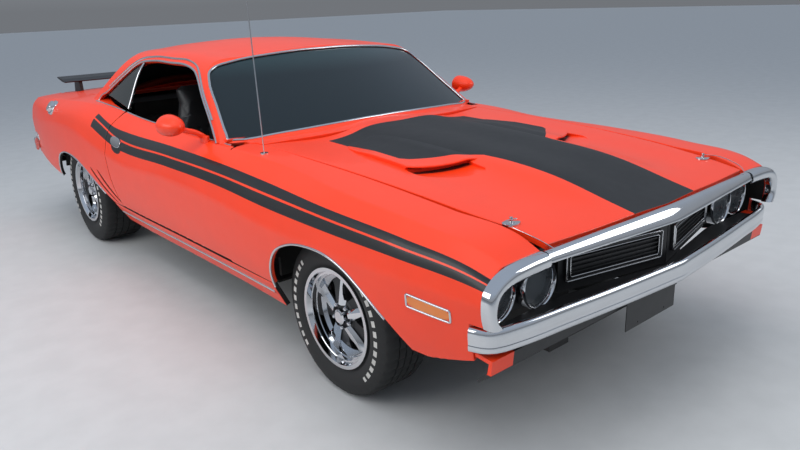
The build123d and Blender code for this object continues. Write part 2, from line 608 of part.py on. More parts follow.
def make_floor():
    """Floor, tunnel, rear wheelhouses, boot floor, rear rails, bulkhead and parcel shelf."""
    axle_z = REAR_TYRE_R
    half = block(0, 730 - SEAT_CLEAR, 618, 2250, FLOOR_LOW, FLOOR_TOP)
    half += side_prism([(2250, 262), (2250, 274), (2420, 560), (2440, 560), (2268, 262)], 0, 560)
    half += block(0, 560, 2420, 3789.7, TANK_TOP, 560)
    half -= block(-1, 176, 600, 2500, 200, 416)
    half += block(0, 190, 618, 2346, FLOOR_LOW, TUNNEL_TOP) - block(-1, 176, 600, 2500, 200, 416)
    drum = rod((585, WHEELBASE, axle_z), (890, WHEELBASE, axle_z), 392)
    drum -= rod((597, WHEELBASE, axle_z), (930, WHEELBASE, axle_z), 380)
    half += drum & block(500, 960, 2300, 3300, axle_z + 120, 900)
    half += block(550, 592, 2430, 3160, axle_z + 126, 556)
    half += block(540, 845, 3170, 3789.7, 500, 512) + block(540, 560, 3170, 3789.7, 500, 560)
    half += block(470, 540, 2430, 3770, 470, TANK_TOP)
    half += block(0, 556, 2600, 2612, 560, 915) + block(0, 660, 2600, 3005, 903, 915)
    return half + other_side(half)


def make_tail_panel():
    """Tail panel between the quarters with its recess for the lamps, and the lower rear valance."""
    panel = block(-800, 800, 3790, 3815, 590, 864) + block(-650, 650, 3790, 3815, 860, 876)
    panel -= block(-760, 760, 3803, 3830, 660, 830)
    valance = side_prism([(3790, 590), (3815, 590), (3800, 480), (3765, 410), (3700, 400), (3700, 412),
                          (3758, 422), (3785, 490), (3790, 500)], -822, 822)
    return panel + valance


def make_tail_lamps():
    """The two wide tail lamps."""
    return both_sides(block(150, 750, 3803 + SEAT_CLEAR, 3822, 680, 810))


PLATE_X, PLATE_Z, PLATE_WIDE, PLATE_HIGH = -45.0, 428.0, 330.0, 152.0
PLATE_HOLES_X, PLATE_HOLES_Z, PLATE_HOLE_R = 178.0, 121.0, 3.5


def make_front_valance():
    """The panel under the front bumper and the pan that closes the space between bumper and grille."""
    seat = FENDER_NOSE - SEAT_CLEAR
    half = side_prism([(seat, 500), (-866, 492), (-860, 440), (-812, 404), (-802, 410), (-846, 446), (-852, 480),
                       (seat, 486)], 0, 898)
    half += plan_prism([(0, -952), (850, -870), (850, -804), (480, -804), (0, -888)], 552, 558)
    half += block(500, 540, -866, -856, 484, 555)
    valance = half + other_side(half)
    low_x, high_x = PLATE_X - PLATE_WIDE / 2, PLATE_X + PLATE_WIDE / 2
    bracket = block(low_x, high_x, -880, -877, PLATE_Z - PLATE_HIGH / 2, PLATE_Z + PLATE_HIGH / 2)
    bracket += block(PLATE_X - 60, PLATE_X + 60, -878, -855, PLATE_Z + 22, PLATE_Z + 56)
    for dx in (-PLATE_HOLES_X / 2, PLATE_HOLES_X / 2):
        for dz in (-PLATE_HOLES_Z / 2, PLATE_HOLES_Z / 2):
            centre = (PLATE_X + dx, PLATE_Z + dz)
            bracket -= rod((centre[0], -890, centre[1]), (centre[0], -870, centre[1]), PLATE_HOLE_R)
    return valance + bracket


WHEEL_HUB = Vector(385, at(1165), 865)
COLUMN_AIM = Vector(0, 0.87, 0.5)
COLUMN_R = 28.0


def make_dashboard():
    """Dashboard with a hood over the dials, the centre stack and the console between the seats."""
    dash = side_prism([(722, 800), (722, 868), (900, 866), (960, 840), (940, 700), (860, 640), (760, 640)],
                      -690, 690, 12)
    dash += side_prism([(890, 860), (900, 892), (1000, 890), (985, 790), (900, 780)], 150, 620, 8)
    dash += block(-110, 110, 840, 960, TUNNEL_TOP + SEAT_CLEAR, 720)
    dash += block(-110, 110, 900, 1900, TUNNEL_TOP + SEAT_CLEAR, 560)
    column = Plane(origin=WHEEL_HUB, z_dir=COLUMN_AIM)
    return dash - column * Pos(0, 0, -200) * Cylinder(COLUMN_R + SEAT_CLEAR, 400)


def make_steering_wheel():
    """Steering wheel on its column, at the car's left."""
    plane = Plane(origin=WHEEL_HUB, z_dir=COLUMN_AIM)
    wheel = plane * Torus(190, 13)
    arm = make_face(Polyline((30, -26), (188, -13), (188, 13), (30, 26), close=True))
    for slot_x, slot_r in ((75, 11), (110, 9), (143, 7)):
        arm -= Pos(slot_x, 0) * Circle(slot_r)
    arm = extrude(arm, amount=4, both=True)
    for angle in (0, 120, 240):
        wheel += plane * Rot(0, 0, 90 + angle) * arm
    wheel += plane * Pos(0, 0, -8) * Cylinder(42, 40)
    wheel += plane * Pos(0, 0, -140) * Cylinder(COLUMN_R, 260)
    return wheel


SEAT_X, SEAT_WIDTH, SEAT_STATION = 425.0, 450.0, 1290.0


def make_front_seats():
    """The two front bucket seats with high backs."""
    s, low, high = SEAT_STATION, SEAT_X - SEAT_WIDTH / 2, SEAT_X + SEAT_WIDTH / 2
    cushion = side_prism([(s, 330), (s - 20, 450), (s + 480, 410), (s + 500, 330)], low, high, 20)
    base = block(low + 40, high - 40, s + 60, s + 430, FLOOR_TOP + SEAT_CLEAR, 340)
    back = side_prism([(s + 440, 400), (s + 560, 900), (s + 604, 1090), (s + 690, 1080), (s + 600, 330),
                       (s + 440, 330)], low, high, 20)
    half = SEAT_WIDTH / 2
    front = make_face(Polyline((-half, 300), (-half, 780), (-half * 0.9, 860), (-half * 0.62, 930), (-half * 0.58, 1100),
                               (half * 0.58, 1100), (half * 0.62, 930), (half * 0.9, 860), (half, 780), (half, 300),
                               close=True))
    back = back & (Pos(SEAT_X, 0, 0) * extrude(Plane.XZ.offset(-at(s + 400)) * front, amount=-400))
    return both_sides(cushion + base + back)


def make_rear_seat():
    """The rear bench."""
    lift = SEAT_CLEAR
    cushion = side_prism([(2030, 430 + lift), (2334, 430 + lift), (2413, 560 + lift), (2440, 561), (2440, 590),
                          (2010, 590), (1995, 450)], -556, 556)
    for sign in (1, -1):
        low, high = sorted((sign * 200, sign * 550))
        cushion += block(low, high, 2060, 2240, FLOOR_TOP + lift, 440)
    back = side_prism([(2400, 580), (2480, 890), (2590, 890), (2520, 561), (2430, 561)], -555, 555)
    return cushion + back


def make_engine():
    """The engine and gearbox as one plain stepped block."""
    block_part = block(-300, 300, -420, 440, 300, 760)
    gearbox = block(-160, 160, 440, 590, 250, 400) + block(-110, 110, 590, 1150, 270, 400)
    return block_part + gearbox


def make_exhaust():
    """Two pipes with mufflers under the floor and tailpipes."""
    z = FLOOR_LOW - MUFFLER_HALF_Z - SEAT_CLEAR
    side = rod((250, 500, z), (250, 2400, z), 28) + rod((250, 2400, z), (330, 2560, z), 28)
    muffler = Pos(250, at(2150), z) * Rot(90, 0, 0) * extrude(Ellipse(100, MUFFLER_HALF_Z), amount=420)
    return both_sides(side + muffler)


def make_fuel_tank():
    """The tank under the boot floor."""
    return block(-380, 380, WHEELBASE + 326, 3680, 370, TANK_TOP - SEAT_CLEAR)


def make_front_suspension():
    """Crossmember under the rails, with the lower arms out to the knuckles and the upper arms."""
    bar = block(0, 430, -60, 60, 170, 300 - SEAT_CLEAR)
    bar += block(380, 430, -110, 110, 190, 240)
    bar += block(420, KINGPIN_X + 14, -22, 22, KNUCKLE_LOW - 22, KNUCKLE_LOW)
    upper = block(440 + SEAT_CLEAR, KINGPIN_X + 14, -22, 22, KNUCKLE_HIGH, KNUCKLE_HIGH + 16)
    upper += block(440 + SEAT_CLEAR, 462, -80, 80, KNUCKLE_HIGH - 20, KNUCKLE_HIGH + 16)
    bore = rod((KINGPIN_X, 0, KNUCKLE_LOW - 30), (KINGPIN_X, 0, KNUCKLE_HIGH + 30), KINGPIN_R + RUN_CLEAR)
    bar, upper = bar - bore, upper - bore
    lower = bar + other_side(bar)
    return Compound([lower, upper, other_side(upper)])


def make_knuckle():
    """The left steering knuckle between the two arms: upright, spindle, disc and steering arm."""
    low, high = KNUCKLE_LOW + SEAT_CLEAR, KNUCKLE_HIGH - SEAT_CLEAR
    upright = block(KINGPIN_X - 14, KINGPIN_X + 14, -30, 30, low, high)
    upright += rod((KINGPIN_X, 0, KNUCKLE_LOW - 20), (KINGPIN_X, 0, KNUCKLE_HIGH + 14), KINGPIN_R)
    spindle = rod((KINGPIN_X, 0, FRONT_TYRE_R), (FRONT_WHEEL_X + 40, 0, FRONT_TYRE_R), SPINDLE_R)
    disc = rod((KINGPIN_X + 12, 0, FRONT_TYRE_R), (KINGPIN_X + 26, 0, FRONT_TYRE_R), 120)
    arm = block(KINGPIN_X - 50, KINGPIN_X - 26, -12, 130, 262, 286)
    arm += block(KINGPIN_X - 40, KINGPIN_X - 4, -12, 20, 262, 286)
    return upright + spindle + disc + arm


def make_rear_axle():
    """Axle tube, differential, drive shaft and hub ends in one."""
    z = REAR_TYRE_R
    axle = rod((-600, WHEELBASE, z), (600, WHEELBASE, z), 42)
    axle += Pos(0, at(WHEELBASE), z) * Sphere(140)
    axle += rod((0, 1150 + SEAT_CLEAR, 335), (0, WHEELBASE - 60, z), 38)
    half = rod((590, WHEELBASE, z), (REAR_WHEEL_X + 40, WHEELBASE, z), SPINDLE_R)
    half += rod((600, WHEELBASE, z), (632, WHEELBASE, z), 120)
    return axle + half + other_side(half)


def make_springs(floor, axle):
    """The two leaf springs, each from its front hanger to its rear shackle, under the axle."""
    leaf = side_prism([(2330, 300), (WHEELBASE, 252), (3330, 322), (3352, 330), (3352, 480), (3330, 480), (3330, 345),
                       (WHEELBASE, 272), (2352, 322), (2350, 420), (2330, 420)], 474, 536)
    leaf += block(474, 536, WHEELBASE - 34, WHEELBASE + 34, 260, 340)
    leaf = largest(leaf - Pos(0, 0, -SEAT_CLEAR) * floor - Pos(0, 0, -SEAT_CLEAR) * axle)
    return both_sides(leaf)


def make_marker_lamps():
    """Front and rear side marker lamps, set in the skin."""
    front, rear = (marker(low, high) for low, high in MARKERS)
    return Compound([front, other_side(front), rear, other_side(rear)])


def make_antenna(fender):
    """The mast on the right fender."""
    base = rod((775, 560, 880), (775, 560, 898), 18) + rod((775, 560, 890), (782, 580, 1680), 2.5)
    return other_side(seat_on(base, fender))


def make_filler_cap(quarter):
    """The bright flip-top cap high on the right quarter."""
    axis = Plane(origin=Vector(908, at(3170), 871), z_dir=Vector(4, 0, 3))
    half = make_face(Polyline((0, -35), (43, -35), (43, 12), (39, 16), (35, 16), (33, 22), (20, 27), (0, 28), close=True))
    cap = axis * Rot(90, 0, 0) * revolve(half, axis=Axis.Y)
    pieces = (cap - Pos(SEAT_CLEAR, 0, SEAT_CLEAR) * quarter).solids()
    return other_side(max(pieces, key=lambda solid: solid.center().X))


def make_decklid():
    """The boot lid with its two hinge eyes."""
    faces = []
    for s, edge_z, mid_z in DECK:
        edge_x = row_at(SIDE, s)[0] - LID_GAP
        top = [(edge_x, edge_z), (edge_x * 0.5, mid_z - 3), (0, mid_z), (-edge_x * 0.5, mid_z - 3), (-edge_x, edge_z)]
        faces.append(section(s, top + [(x, z - HOOD_THICK) for x, z in reversed(top)]))
    knuckle = lid_knuckle(DECK_PIN_STATION, DECK_PIN_Z, 60)
    return loft_sections(faces) + knuckle + other_side(knuckle)


def make_wing(lid):
    """The black wing on its two pedestals."""
    blade = side_prism([(3560, 1006), (3620, 1022), (3740, 1034), (3742, 1026), (3640, 1004), (3570, 998)], -690, 690)
    foot = side_prism([(3580, 910), (3590, 1006), (3690, 1012), (3720, 900)], 560, 585)
    return seat_on(blade + foot + other_side(foot), lid)


def make_tyre(radius, width):
    """A tyre about the X axis, centred on the wheel."""
    half, seat_half = width / 2, width / 2 - 20
    bead, wall = RIM_FLANGE_R + BEAD_CLEAR, radius - RIM_FLANGE_R
    side = [(seat_half, RIM_SEAT_R), (seat_half, bead), (half - 7, bead + wall * 0.12), (half, bead + wall * 0.36),
            (half - 3, bead + wall * 0.56), (half - 14, radius - 14), (half - 34, radius)]
    points = side + [(-x, r) for x, r in reversed(side)]
    profile = make_face(Polyline(*points, close=True))
    return revolve(Plane.XY * profile, axis=Axis.X)


def spoke_section(x, r, share):
    """The ridged outline of a spoke at a radius, its foot sunk in the disc behind it."""
    foot, crest = SPOKE_FOOT * share, SPOKE_CREST * share
    half = [(x - DISH_THICK, foot), (x + 2, foot), (x + SPOKE_RISE, crest)]
    return Wire.make_polygon([Vector(a, b, r) for a, b in half + [(a, -b) for a, b in reversed(half)]], close=True)


def make_rim(width, bore):
    """A road wheel about the X axis, its outer face towards +X: stepped rim, dished disc and ridged spokes."""
    seat_half = width / 2 - 20
    inner = RIM_SEAT_R - RIM_WALL
    near, far = seat_half + BEAD_CLEAR, seat_half + BEAD_CLEAR + FLANGE_THICK
    first, second = far - RIM_STEP_WIDE, far - 2 * RIM_STEP_WIDE
    points = [(near, RIM_SEAT_R), (near, RIM_FLANGE_R), (far, RIM_FLANGE_R), (far, inner + 2 * RIM_STEP_HIGH),
              (first, inner + RIM_STEP_HIGH), (first, inner), (second, inner - 2), (second, inner - RIM_STEP_HIGH),
              (second - 40, inner - RIM_STEP_HIGH), (second - 52, inner), (-far, inner), (-far, RIM_FLANGE_R),
              (-near, RIM_FLANGE_R), (-near, RIM_SEAT_R)]
    barrel = revolve(make_face(Polyline(*points, close=True)), axis=Axis.X)
    face_x = seat_half - SPOKE_DISH
    edge_x, edge_r = face_x - SPOKE_DEEP, inner - RIM_STEP_HIGH / 2
    dish = [(edge_x, edge_r), (edge_x, edge_r - 22), (face_x - 6, HUB_R + 6), (face_x, HUB_R), (face_x, CAP_R + 3),
            (face_x + CAP_LONG - 4, CAP_R), (face_x + CAP_LONG, CAP_R - 8), (face_x + CAP_LONG, 0), (face_x - 36, 0),
            (face_x - 36, HUB_R), (edge_x - DISH_THICK, edge_r - 24), (edge_x - DISH_THICK, edge_r)]
    disc = revolve(make_face(Polyline(*dish, close=True)), axis=Axis.X)
    turn = 360 / SPOKES
    window = make_face(Polyline((74, -7), (118, -34), (147, -40), (153, 0), (147, 40), (118, 34), (74, 7), close=True))
    window = extrude(Plane.YZ.offset(edge_x - 20) * fillet(window.vertices(), 4), amount=70)
    spoke = Solid.make_loft([spoke_section(face_x, HUB_R - 12, 0.8), spoke_section(edge_x, edge_r, 1.25)], True)
    for index in range(SPOKES):
        disc = disc - Rot(turn * (index + 0.5), 0, 0) * window
        disc = disc + Rot(turn * index, 0, 0) * spoke
    return barrel + disc - Pos(face_x - 40, 0, 0) * Rot(0, 90, 0) * Cylinder(bore, 60)


def main():
    """Builds and writes every sub-part."""
    door, fender, quarter = make_door(), make_fender(), make_quarter()
    save("door_left", door)
    save("door_right", other_side(door))
    save("fenders", both_sides(fender))
    save("quarter_panels", both_sides(quarter))
    save("rockers", both_sides(make_rocker()))
    structure, tail = make_front_structure(), make_tail_panel()
    save("front_structure", structure)
    save("tail_panel", tail)
    save("roof", make_roof(quarter, structure))
    save("fixed_glass", make_glass())
    hood, decklid = make_hood(), make_decklid()
    save("hood", hood)
    save("hood_brightwork", make_hood_brightwork(hood))
    save("decklid", decklid)
    save("rear_wing", make_wing(decklid))
    save("nose_mouldings", make_nose_mouldings())
    save("bumper_front", make_bumper(True, structure))
    save("bumper_rear", make_bumper(False, tail))
    save("grille", make_grille())
    save("headlamps", make_headlamps())
    save("headlamp_lenses", make_lenses())
    save("front_valance", make_front_valance())
    save("tail_lamps", make_tail_lamps())
    save("marker_lamps", make_marker_lamps())
    save("antenna", make_antenna(fender))
    save("filler_cap", make_filler_cap(quarter))
    floor, axle = make_floor(), make_rear_axle()
    save("floor_pan", floor)
    save("dashboard", make_dashboard())
    save("steering_wheel", make_steering_wheel())
    save("front_seats", make_front_seats())
    save("rear_seat", make_rear_seat())
    save("engine", make_engine())
    save("exhaust", make_exhaust())
    save("fuel_tank", make_fuel_tank())
    save("front_suspension", make_front_suspension())
    save("rear_axle", axle)
    save("leaf_springs", make_springs(floor, axle))
    knuckle = make_knuckle()
    save("knuckle_left", knuckle)
    save("knuckle_right", other_side(knuckle))
    for end, station, radius, width, wheel_x in (
            ("front", 0.0, FRONT_TYRE_R, FRONT_TYRE_W, FRONT_WHEEL_X),
            ("rear", WHEELBASE, REAR_TYRE_R, REAR_TYRE_W, REAR_WHEEL_X)):
        place = Pos(wheel_x, at(station), radius)
        tyre = place * make_tyre(radius, width)
        rim = place * make_rim(width, SPINDLE_R + RUN_CLEAR)
        save(f"tyre_{end}_left", tyre)
        save(f"tyre_{end}_right", other_side(tyre))
        save(f"rim_{end}_left", rim)
        save(f"rim_{end}_right", other_side(rim))


if __name__ == "__main__":
    main()
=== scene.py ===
"""Looks of a two-door muscle car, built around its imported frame.

Everything is in metres in the frame's own axes: X to the car's left, Y rearwards, Z up. A station is
a distance behind the front axle, so Y = station - AXLE_TO_ORIGIN.
"""

import json
import logging
import math
from dataclasses import dataclass, field
from enum import Enum
from typing import Callable, Sequence

import bmesh
import bpy
import numpy as np
from mathutils import Matrix, Vector
from mathutils.geometry import delaunay_2d_cdt

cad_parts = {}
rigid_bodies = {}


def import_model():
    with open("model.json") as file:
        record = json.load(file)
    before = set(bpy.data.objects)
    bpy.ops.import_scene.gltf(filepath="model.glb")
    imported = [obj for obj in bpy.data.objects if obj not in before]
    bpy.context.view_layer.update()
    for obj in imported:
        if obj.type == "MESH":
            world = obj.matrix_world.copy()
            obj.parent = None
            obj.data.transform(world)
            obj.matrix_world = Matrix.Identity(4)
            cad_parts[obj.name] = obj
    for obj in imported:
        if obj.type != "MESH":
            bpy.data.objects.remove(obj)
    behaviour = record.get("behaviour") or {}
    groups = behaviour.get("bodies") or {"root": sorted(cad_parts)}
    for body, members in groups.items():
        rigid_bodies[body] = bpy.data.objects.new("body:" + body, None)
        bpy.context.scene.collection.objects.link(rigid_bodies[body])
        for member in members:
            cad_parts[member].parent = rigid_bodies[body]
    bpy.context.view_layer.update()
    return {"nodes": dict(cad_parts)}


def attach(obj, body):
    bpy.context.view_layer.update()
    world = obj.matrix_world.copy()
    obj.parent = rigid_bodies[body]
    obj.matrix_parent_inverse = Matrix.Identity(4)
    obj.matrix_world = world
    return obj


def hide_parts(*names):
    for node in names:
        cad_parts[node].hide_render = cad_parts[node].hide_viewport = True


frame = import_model()
LOG = logging.getLogger("car")
AXLE_TO_ORIGIN = 1.45
OTHER_SIDE = np.array([1.0, -1.0])  # turns (u, v) round to the other side of the car
Points = Sequence[Sequence[float]]


class Side(Enum):
    """The two sides of the car, with the sign of X on each."""

    LEFT = 1
    RIGHT = -1

    @property
    def word(self) -> str:
        """The side's name in a piece's name."""
        return self.name.lower()


class Slot(Enum):
    """Material slots of the record."""

    PAINT = "body_paint"
    UNDER = "underbody"
    BRIGHT = "bright"
    PLASTIC = "black_plastic"
    BLACK_METAL = "black_metal"
    GLASS = "clear_glass"
    AMBER = "amber"
    RED = "red_lamp"
    VINYL = "vinyl"
    RUBBER = "tyre_rubber"
    IRON = "iron"
    STEEL = "steel"
    SOFT = "soft_black"


# Shader maths


class Signal:
    """A shader socket that can be used in Python expressions."""

    def __init__(self, graph: "Graph", socket: bpy.types.NodeSocket) -> None:
        """Keeps the socket and the graph it belongs to."""
        self.graph, self.socket = graph, socket

    def _math(self, operation: str, *values: object) -> "Signal":
        """Adds one Math node.

        Args:
            operation: the node's operation.
            values: its inputs, as signals or numbers.

        Returns:
            The node's result.
        """
        return self.graph.node("ShaderNodeMath", {"operation": operation}, dict(enumerate(values)))

    def __add__(self, other: object) -> "Signal":
        """self + other."""
        return self._math("ADD", self, other)

    __radd__ = __add__

    def __sub__(self, other: object) -> "Signal":
        """self - other."""
        return self._math("SUBTRACT", self, other)

    def __rsub__(self, other: object) -> "Signal":
        """other - self."""
        return self._math("SUBTRACT", other, self)

    def __mul__(self, other: object) -> "Signal":
        """self * other."""
        return self._math("MULTIPLY", self, other)

    __rmul__ = __mul__

    def __gt__(self, other: object) -> "Signal":
        """1 where self is greater than other."""
        return self._math("GREATER_THAN", self, other)

    def __lt__(self, other: object) -> "Signal":
        """1 where self is less than other."""
        return self._math("LESS_THAN", self, other)

    def root(self) -> "Signal":
        """The square root."""
        return self._math("SQRT", self)

    def magnitude(self) -> "Signal":
        """The absolute value."""
        return self._math("ABSOLUTE", self)

    def clamped(self, low: float, high: float) -> "Signal":
        """The value mapped from low..high to 0..1 and held inside it."""
        return self.graph.node("ShaderNodeMapRange", {"clamp": True},
                               {"Value": self, "From Min": low, "From Max": high})


class Graph:
    """The node tree of one material, with a Principled shader at its end."""

    def __init__(self, name: str) -> None:
        """Makes the material and empties its tree.

        Args:
            name: the material's name.
        """
        self.material = bpy.data.materials.new(name)
        self.material.use_nodes = True
        self.tree = self.material.node_tree
        self.tree.nodes.clear()
        self.shader = self.tree.nodes.new("ShaderNodeBsdfPrincipled")
        output = self.tree.nodes.new("ShaderNodeOutputMaterial")
        self.tree.links.new(self.shader.outputs[0], output.inputs[0])

    def node(self, kind: str, settings: dict[str, object], inputs: dict[object, object],
             output: object = 0) -> Signal:
        """Adds a node.

        Args:
            kind: the node's type.
            settings: its properties, set first.
            inputs: values or signals by socket name or number.
            output: the socket to return.

        Returns:
            The chosen output.
        """
        made = self.tree.nodes.new(kind)
        for key, value in settings.items():
            setattr(made, key, value)
        for key, value in inputs.items():
            self.put(made.inputs[key], value)
        return Signal(self, made.outputs[output])

    def put(self, socket: bpy.types.NodeSocket, value: object) -> None:
        """Gives a socket a signal or a plain value."""
        if isinstance(value, Signal):
            self.tree.links.new(value.socket, socket)
        elif isinstance(value, tuple) and socket.type == "RGBA":
            socket.default_value = (*value, 1.0)
        else:
            socket.default_value = value

    def dress(self, **inputs: object) -> bpy.types.Material:
        """Sets the Principled shader's inputs.

        Args:
            inputs: values or signals, with underscores for the spaces in a socket's name.

        Returns:
            The finished material.
        """
        for key, value in inputs.items():
            self.put(self.shader.inputs[key.replace("_", " ")], value)
        return self.material

    def place(self) -> Signal:
        """Position on the car, in metres."""
        return self.node("ShaderNodeTexCoord", {}, {}, "Object")

    def axes(self) -> tuple[Signal, Signal, Signal]:
        """The three coordinates of the position."""
        split = self.node("ShaderNodeSeparateXYZ", {}, {0: self.place()})
        outputs = split.socket.node.outputs
        return tuple(Signal(self, outputs[i]) for i in range(3))

    def noise(self, scale: float, detail: float = 3.0, roughness: float = 0.5) -> Signal:
        """Fractal noise over the position, 0 to 1."""
        return self.node("ShaderNodeTexNoise", {}, {"Vector": self.place(), "Scale": scale, "Detail": detail,
                                                    "Roughness": roughness})

    def blend(self, share: Signal, first: object, second: object) -> Signal:
        """A colour between two colours.

        Args:
            share: 0 for the first and 1 for the second.
            first: colour or signal.
            second: colour or signal.

        Returns:
            The mixed colour.
        """
        return self.node("ShaderNodeMix", {"data_type": "RGBA"}, {0: share, 6: first, 7: second}, 2)

    def bump(self, height: Signal, strength: float, distance: float) -> Signal:
        """A bumped normal from a height signal."""
        return self.node("ShaderNodeBump", {}, {"Height": height, "Strength": strength, "Distance": distance})


class Look:
    """A finish whose material is made once."""

    name: str

    def material(self) -> bpy.types.Material:
        """Makes the material, or returns the one already made."""
        return bpy.data.materials.get(self.name) or self.make()

    def make(self) -> bpy.types.Material:
        """Builds the node tree."""
        raise NotImplementedError


@dataclass(frozen=True)
class Finish(Look):
    """A finish that varies gently over a surface.

    Attributes:
        name: the material's name.
        colour: base colour.
        rough: roughness.
        metal: metallic share.
        coat: clear coat weight.
        mottle: how far the colour darkens in patches.
        grain: size of the surface texture in metres, 0 for none.
        depth: height of that texture in metres.
        smudge: how far the roughness varies.
    """

    name: str
    colour: tuple[float, float, float]
    rough: float = 0.5
    metal: float = 0.0
    coat: float = 0.0
    mottle: float = 0.12
    grain: float = 0.0
    depth: float = 0.0
    smudge: float = 0.1

    def make(self) -> bpy.types.Material:
        """Builds the node tree.

        Returns:
            The new material.
        """
        graph = Graph(self.name)
        patches = graph.noise(7.0)
        dark = tuple(c * (1 - self.mottle) for c in self.colour)
        colour = graph.blend(patches.clamped(0.35, 0.65), self.colour, dark)
        rough = self.rough + self.smudge * (graph.noise(23.0, 4.0) - 0.5)
        inputs = {"Base_Color": colour, "Roughness": rough, "Metallic": self.metal, "Coat_Weight": self.coat,
                  "Coat_Roughness": 0.04}
        if self.grain:
            texture = graph.noise(1.0 / self.grain, 4.0, 0.6)
            inputs["Normal"] = graph.bump(texture, 0.6, self.depth)
        return graph.dress(**inputs)


@dataclass(frozen=True)
class PlacedFinish(Look):
    """Two finishes on one piece, chosen by place.

    Attributes:
        name: the material's name.
        first: finish where the mask is 0.
        second: finish where the mask is 1.
        mask: makes the mask from the graph.
    """

    name: str
    first: Finish
    second: Finish
    mask: Callable[[Graph], Signal]

    def make(self) -> bpy.types.Material:
        """Builds the node tree.

        Returns:
            The new material.
        """
        graph = Graph(self.name)
        mask, a, b = self.mask(graph), self.first, self.second
        patches = (graph.noise(9.0) - 0.5) * 0.12
        value = graph.node("ShaderNodeHueSaturation", {}, {"Color": graph.blend(mask, a.colour, b.colour),
                                                            "Value": 1.0 + patches})
        rough = a.rough + (b.rough - a.rough) * mask + (graph.noise(23.0, 4.0) - 0.5) * a.smudge
        return graph.dress(Base_Color=value, Roughness=rough, Metallic=a.metal + (b.metal - a.metal) * mask,
                           Coat_Weight=a.coat + (b.coat - a.coat) * mask, Coat_Roughness=0.04,
                           Normal=graph.bump(graph.noise(300.0), 0.3, 0.00002))


@dataclass(frozen=True)
class GlassFinish(Look):
    """Tinted glass: clear face on, more of a mirror at a slant.

    Attributes:
        name: the material's name.
        tint: colour of the glass.
        density: how much it hides face on.
        band_z: height where a darker band begins at the top, or 9 for none.
    """

    name: str
    tint: tuple[float, float, float]
    density: float
    band_z: float = 9.0

    def make(self) -> bpy.types.Material:
        """Builds the node tree.

        Returns:
            The new material.
        """
        graph = Graph(self.name)
        slant = graph.node("ShaderNodeFresnel", {}, {"IOR": 1.5})
        band = graph.axes()[2].clamped(self.band_z, self.band_z + 0.07)
        alpha = self.density + (0.93 - self.density) * band * 0.75 + slant * 0.75
        colour = graph.blend(band, self.tint, (0.01, 0.03, 0.035))
        smears = 0.015 + 0.03 * graph.noise(9.0)
        return graph.dress(Base_Color=colour, Roughness=smears, Alpha=alpha.clamped(0.0, 1.0), Coat_Weight=0.6,
                           Coat_Roughness=0.02)


# Name, colour, roughness, metal, coat, mottle, grain, depth, smudge
ORANGE = Finish("orange_paint", (0.98, 0.046, 0.004), 0.42, 0.0, 0.25, 0.03, 0.004, 0.00002, 0.04)
BLACK_VINYL_STRIPE = Finish("stripe_black", (0.010, 0.010, 0.011), 0.38, 0.0, 0.15, 0.1, 0.002, 0.00003, 0.06)
HOOD_BLACK = Finish("hood_black", (0.018, 0.018, 0.019), 0.55, 0.0, 0.0, 0.12, 0.0015, 0.00005, 0.08)
CHROME = Finish("chrome", (0.70, 0.71, 0.73), 0.06, 1.0, 0.0, 0.04, 0.0, 0.0, 0.05)
STAINLESS = Finish("stainless_trim", (0.72, 0.72, 0.73), 0.16, 1.0, 0.0, 0.05, 0.0, 0.0, 0.06)
SATIN_BLACK = Finish("satin_black", (0.014, 0.014, 0.015), 0.42, 0.0, 0.0, 0.2, 0.003, 0.00008, 0.12)
UNDERBODY = Finish("underbody_black", (0.020, 0.019, 0.018), 0.75, 0.0, 0.0, 0.4, 0.006, 0.0006, 0.2)
IRON = Finish("cast_iron", (0.055, 0.052, 0.050), 0.62, 0.6, 0.0, 0.35, 0.004, 0.0004, 0.2)
STEEL = Finish("bare_steel", (0.42, 0.41, 0.40), 0.38, 1.0, 0.0, 0.25, 0.006, 0.0001, 0.2)
RUBBER = Finish("tyre_rubber", (0.022, 0.022, 0.023), 0.72, 0.0, 0.0, 0.25, 0.003, 0.00012, 0.15)
WHITE_LETTER = Finish("sidewall_white", (0.62, 0.60, 0.56), 0.6, 0.0, 0.0, 0.15, 0.003, 0.0001, 0.1)
VINYL = Finish("seat_vinyl", (0.016, 0.016, 0.017), 0.46, 0.0, 0.0, 0.2, 0.0022, 0.00018, 0.12)
DASH_BLACK = Finish("dash_black", (0.018, 0.018, 0.019), 0.55, 0.0, 0.0, 0.2, 0.002, 0.0002, 0.1)
HEADLINER = Finish("headliner", (0.020, 0.020, 0.021), 0.8, 0.0, 0.0, 0.2, 0.003, 0.0003, 0.1)
AMBER = Finish("amber_lens", (0.85, 0.22, 0.02), 0.15, 0.0, 0.8, 0.1, 0.006, 0.0006, 0.05)
RED_LENS = Finish("red_lens", (0.42, 0.006, 0.005), 0.22, 0.0, 0.25, 0.1, 0.006, 0.0006, 0.05)
FLOOR_PALE = Finish("floor_pale", (0.60, 0.60, 0.59), 0.7, 0.0, 0.0, 0.05, 0.01, 0.0001, 0.05)
LAMP_GLASS = GlassFinish("lamp_glass", (0.22, 0.24, 0.25), 0.10)
SCREEN_GLASS = GlassFinish("screen_glass", (0.012, 0.022, 0.028), 0.60, 1.16)
WINDOW_GLASS = GlassFinish("window_glass", (0.012, 0.018, 0.018), 0.55)

# Smooth curves


def at(station: float | np.ndarray) -> float | np.ndarray:
    """Y of a station, or of several."""
    return station - AXLE_TO_ORIGIN


def tangents(knots: np.ndarray, values: np.ndarray) -> np.ndarray:
    """Slopes of a smooth curve at its knots.

    Args:
        knots: n rising places.
        values: n rows of values.

    Returns:
        n rows of slopes.
    """
    step = np.diff(knots)[:, None]
    slope = np.diff(values, axis=0) / step
    inner = (slope[:-1] * step[1:] + slope[1:] * step[:-1]) / (step[1:] + step[:-1])
    return np.vstack([slope[:1], inner, slope[-1:]])


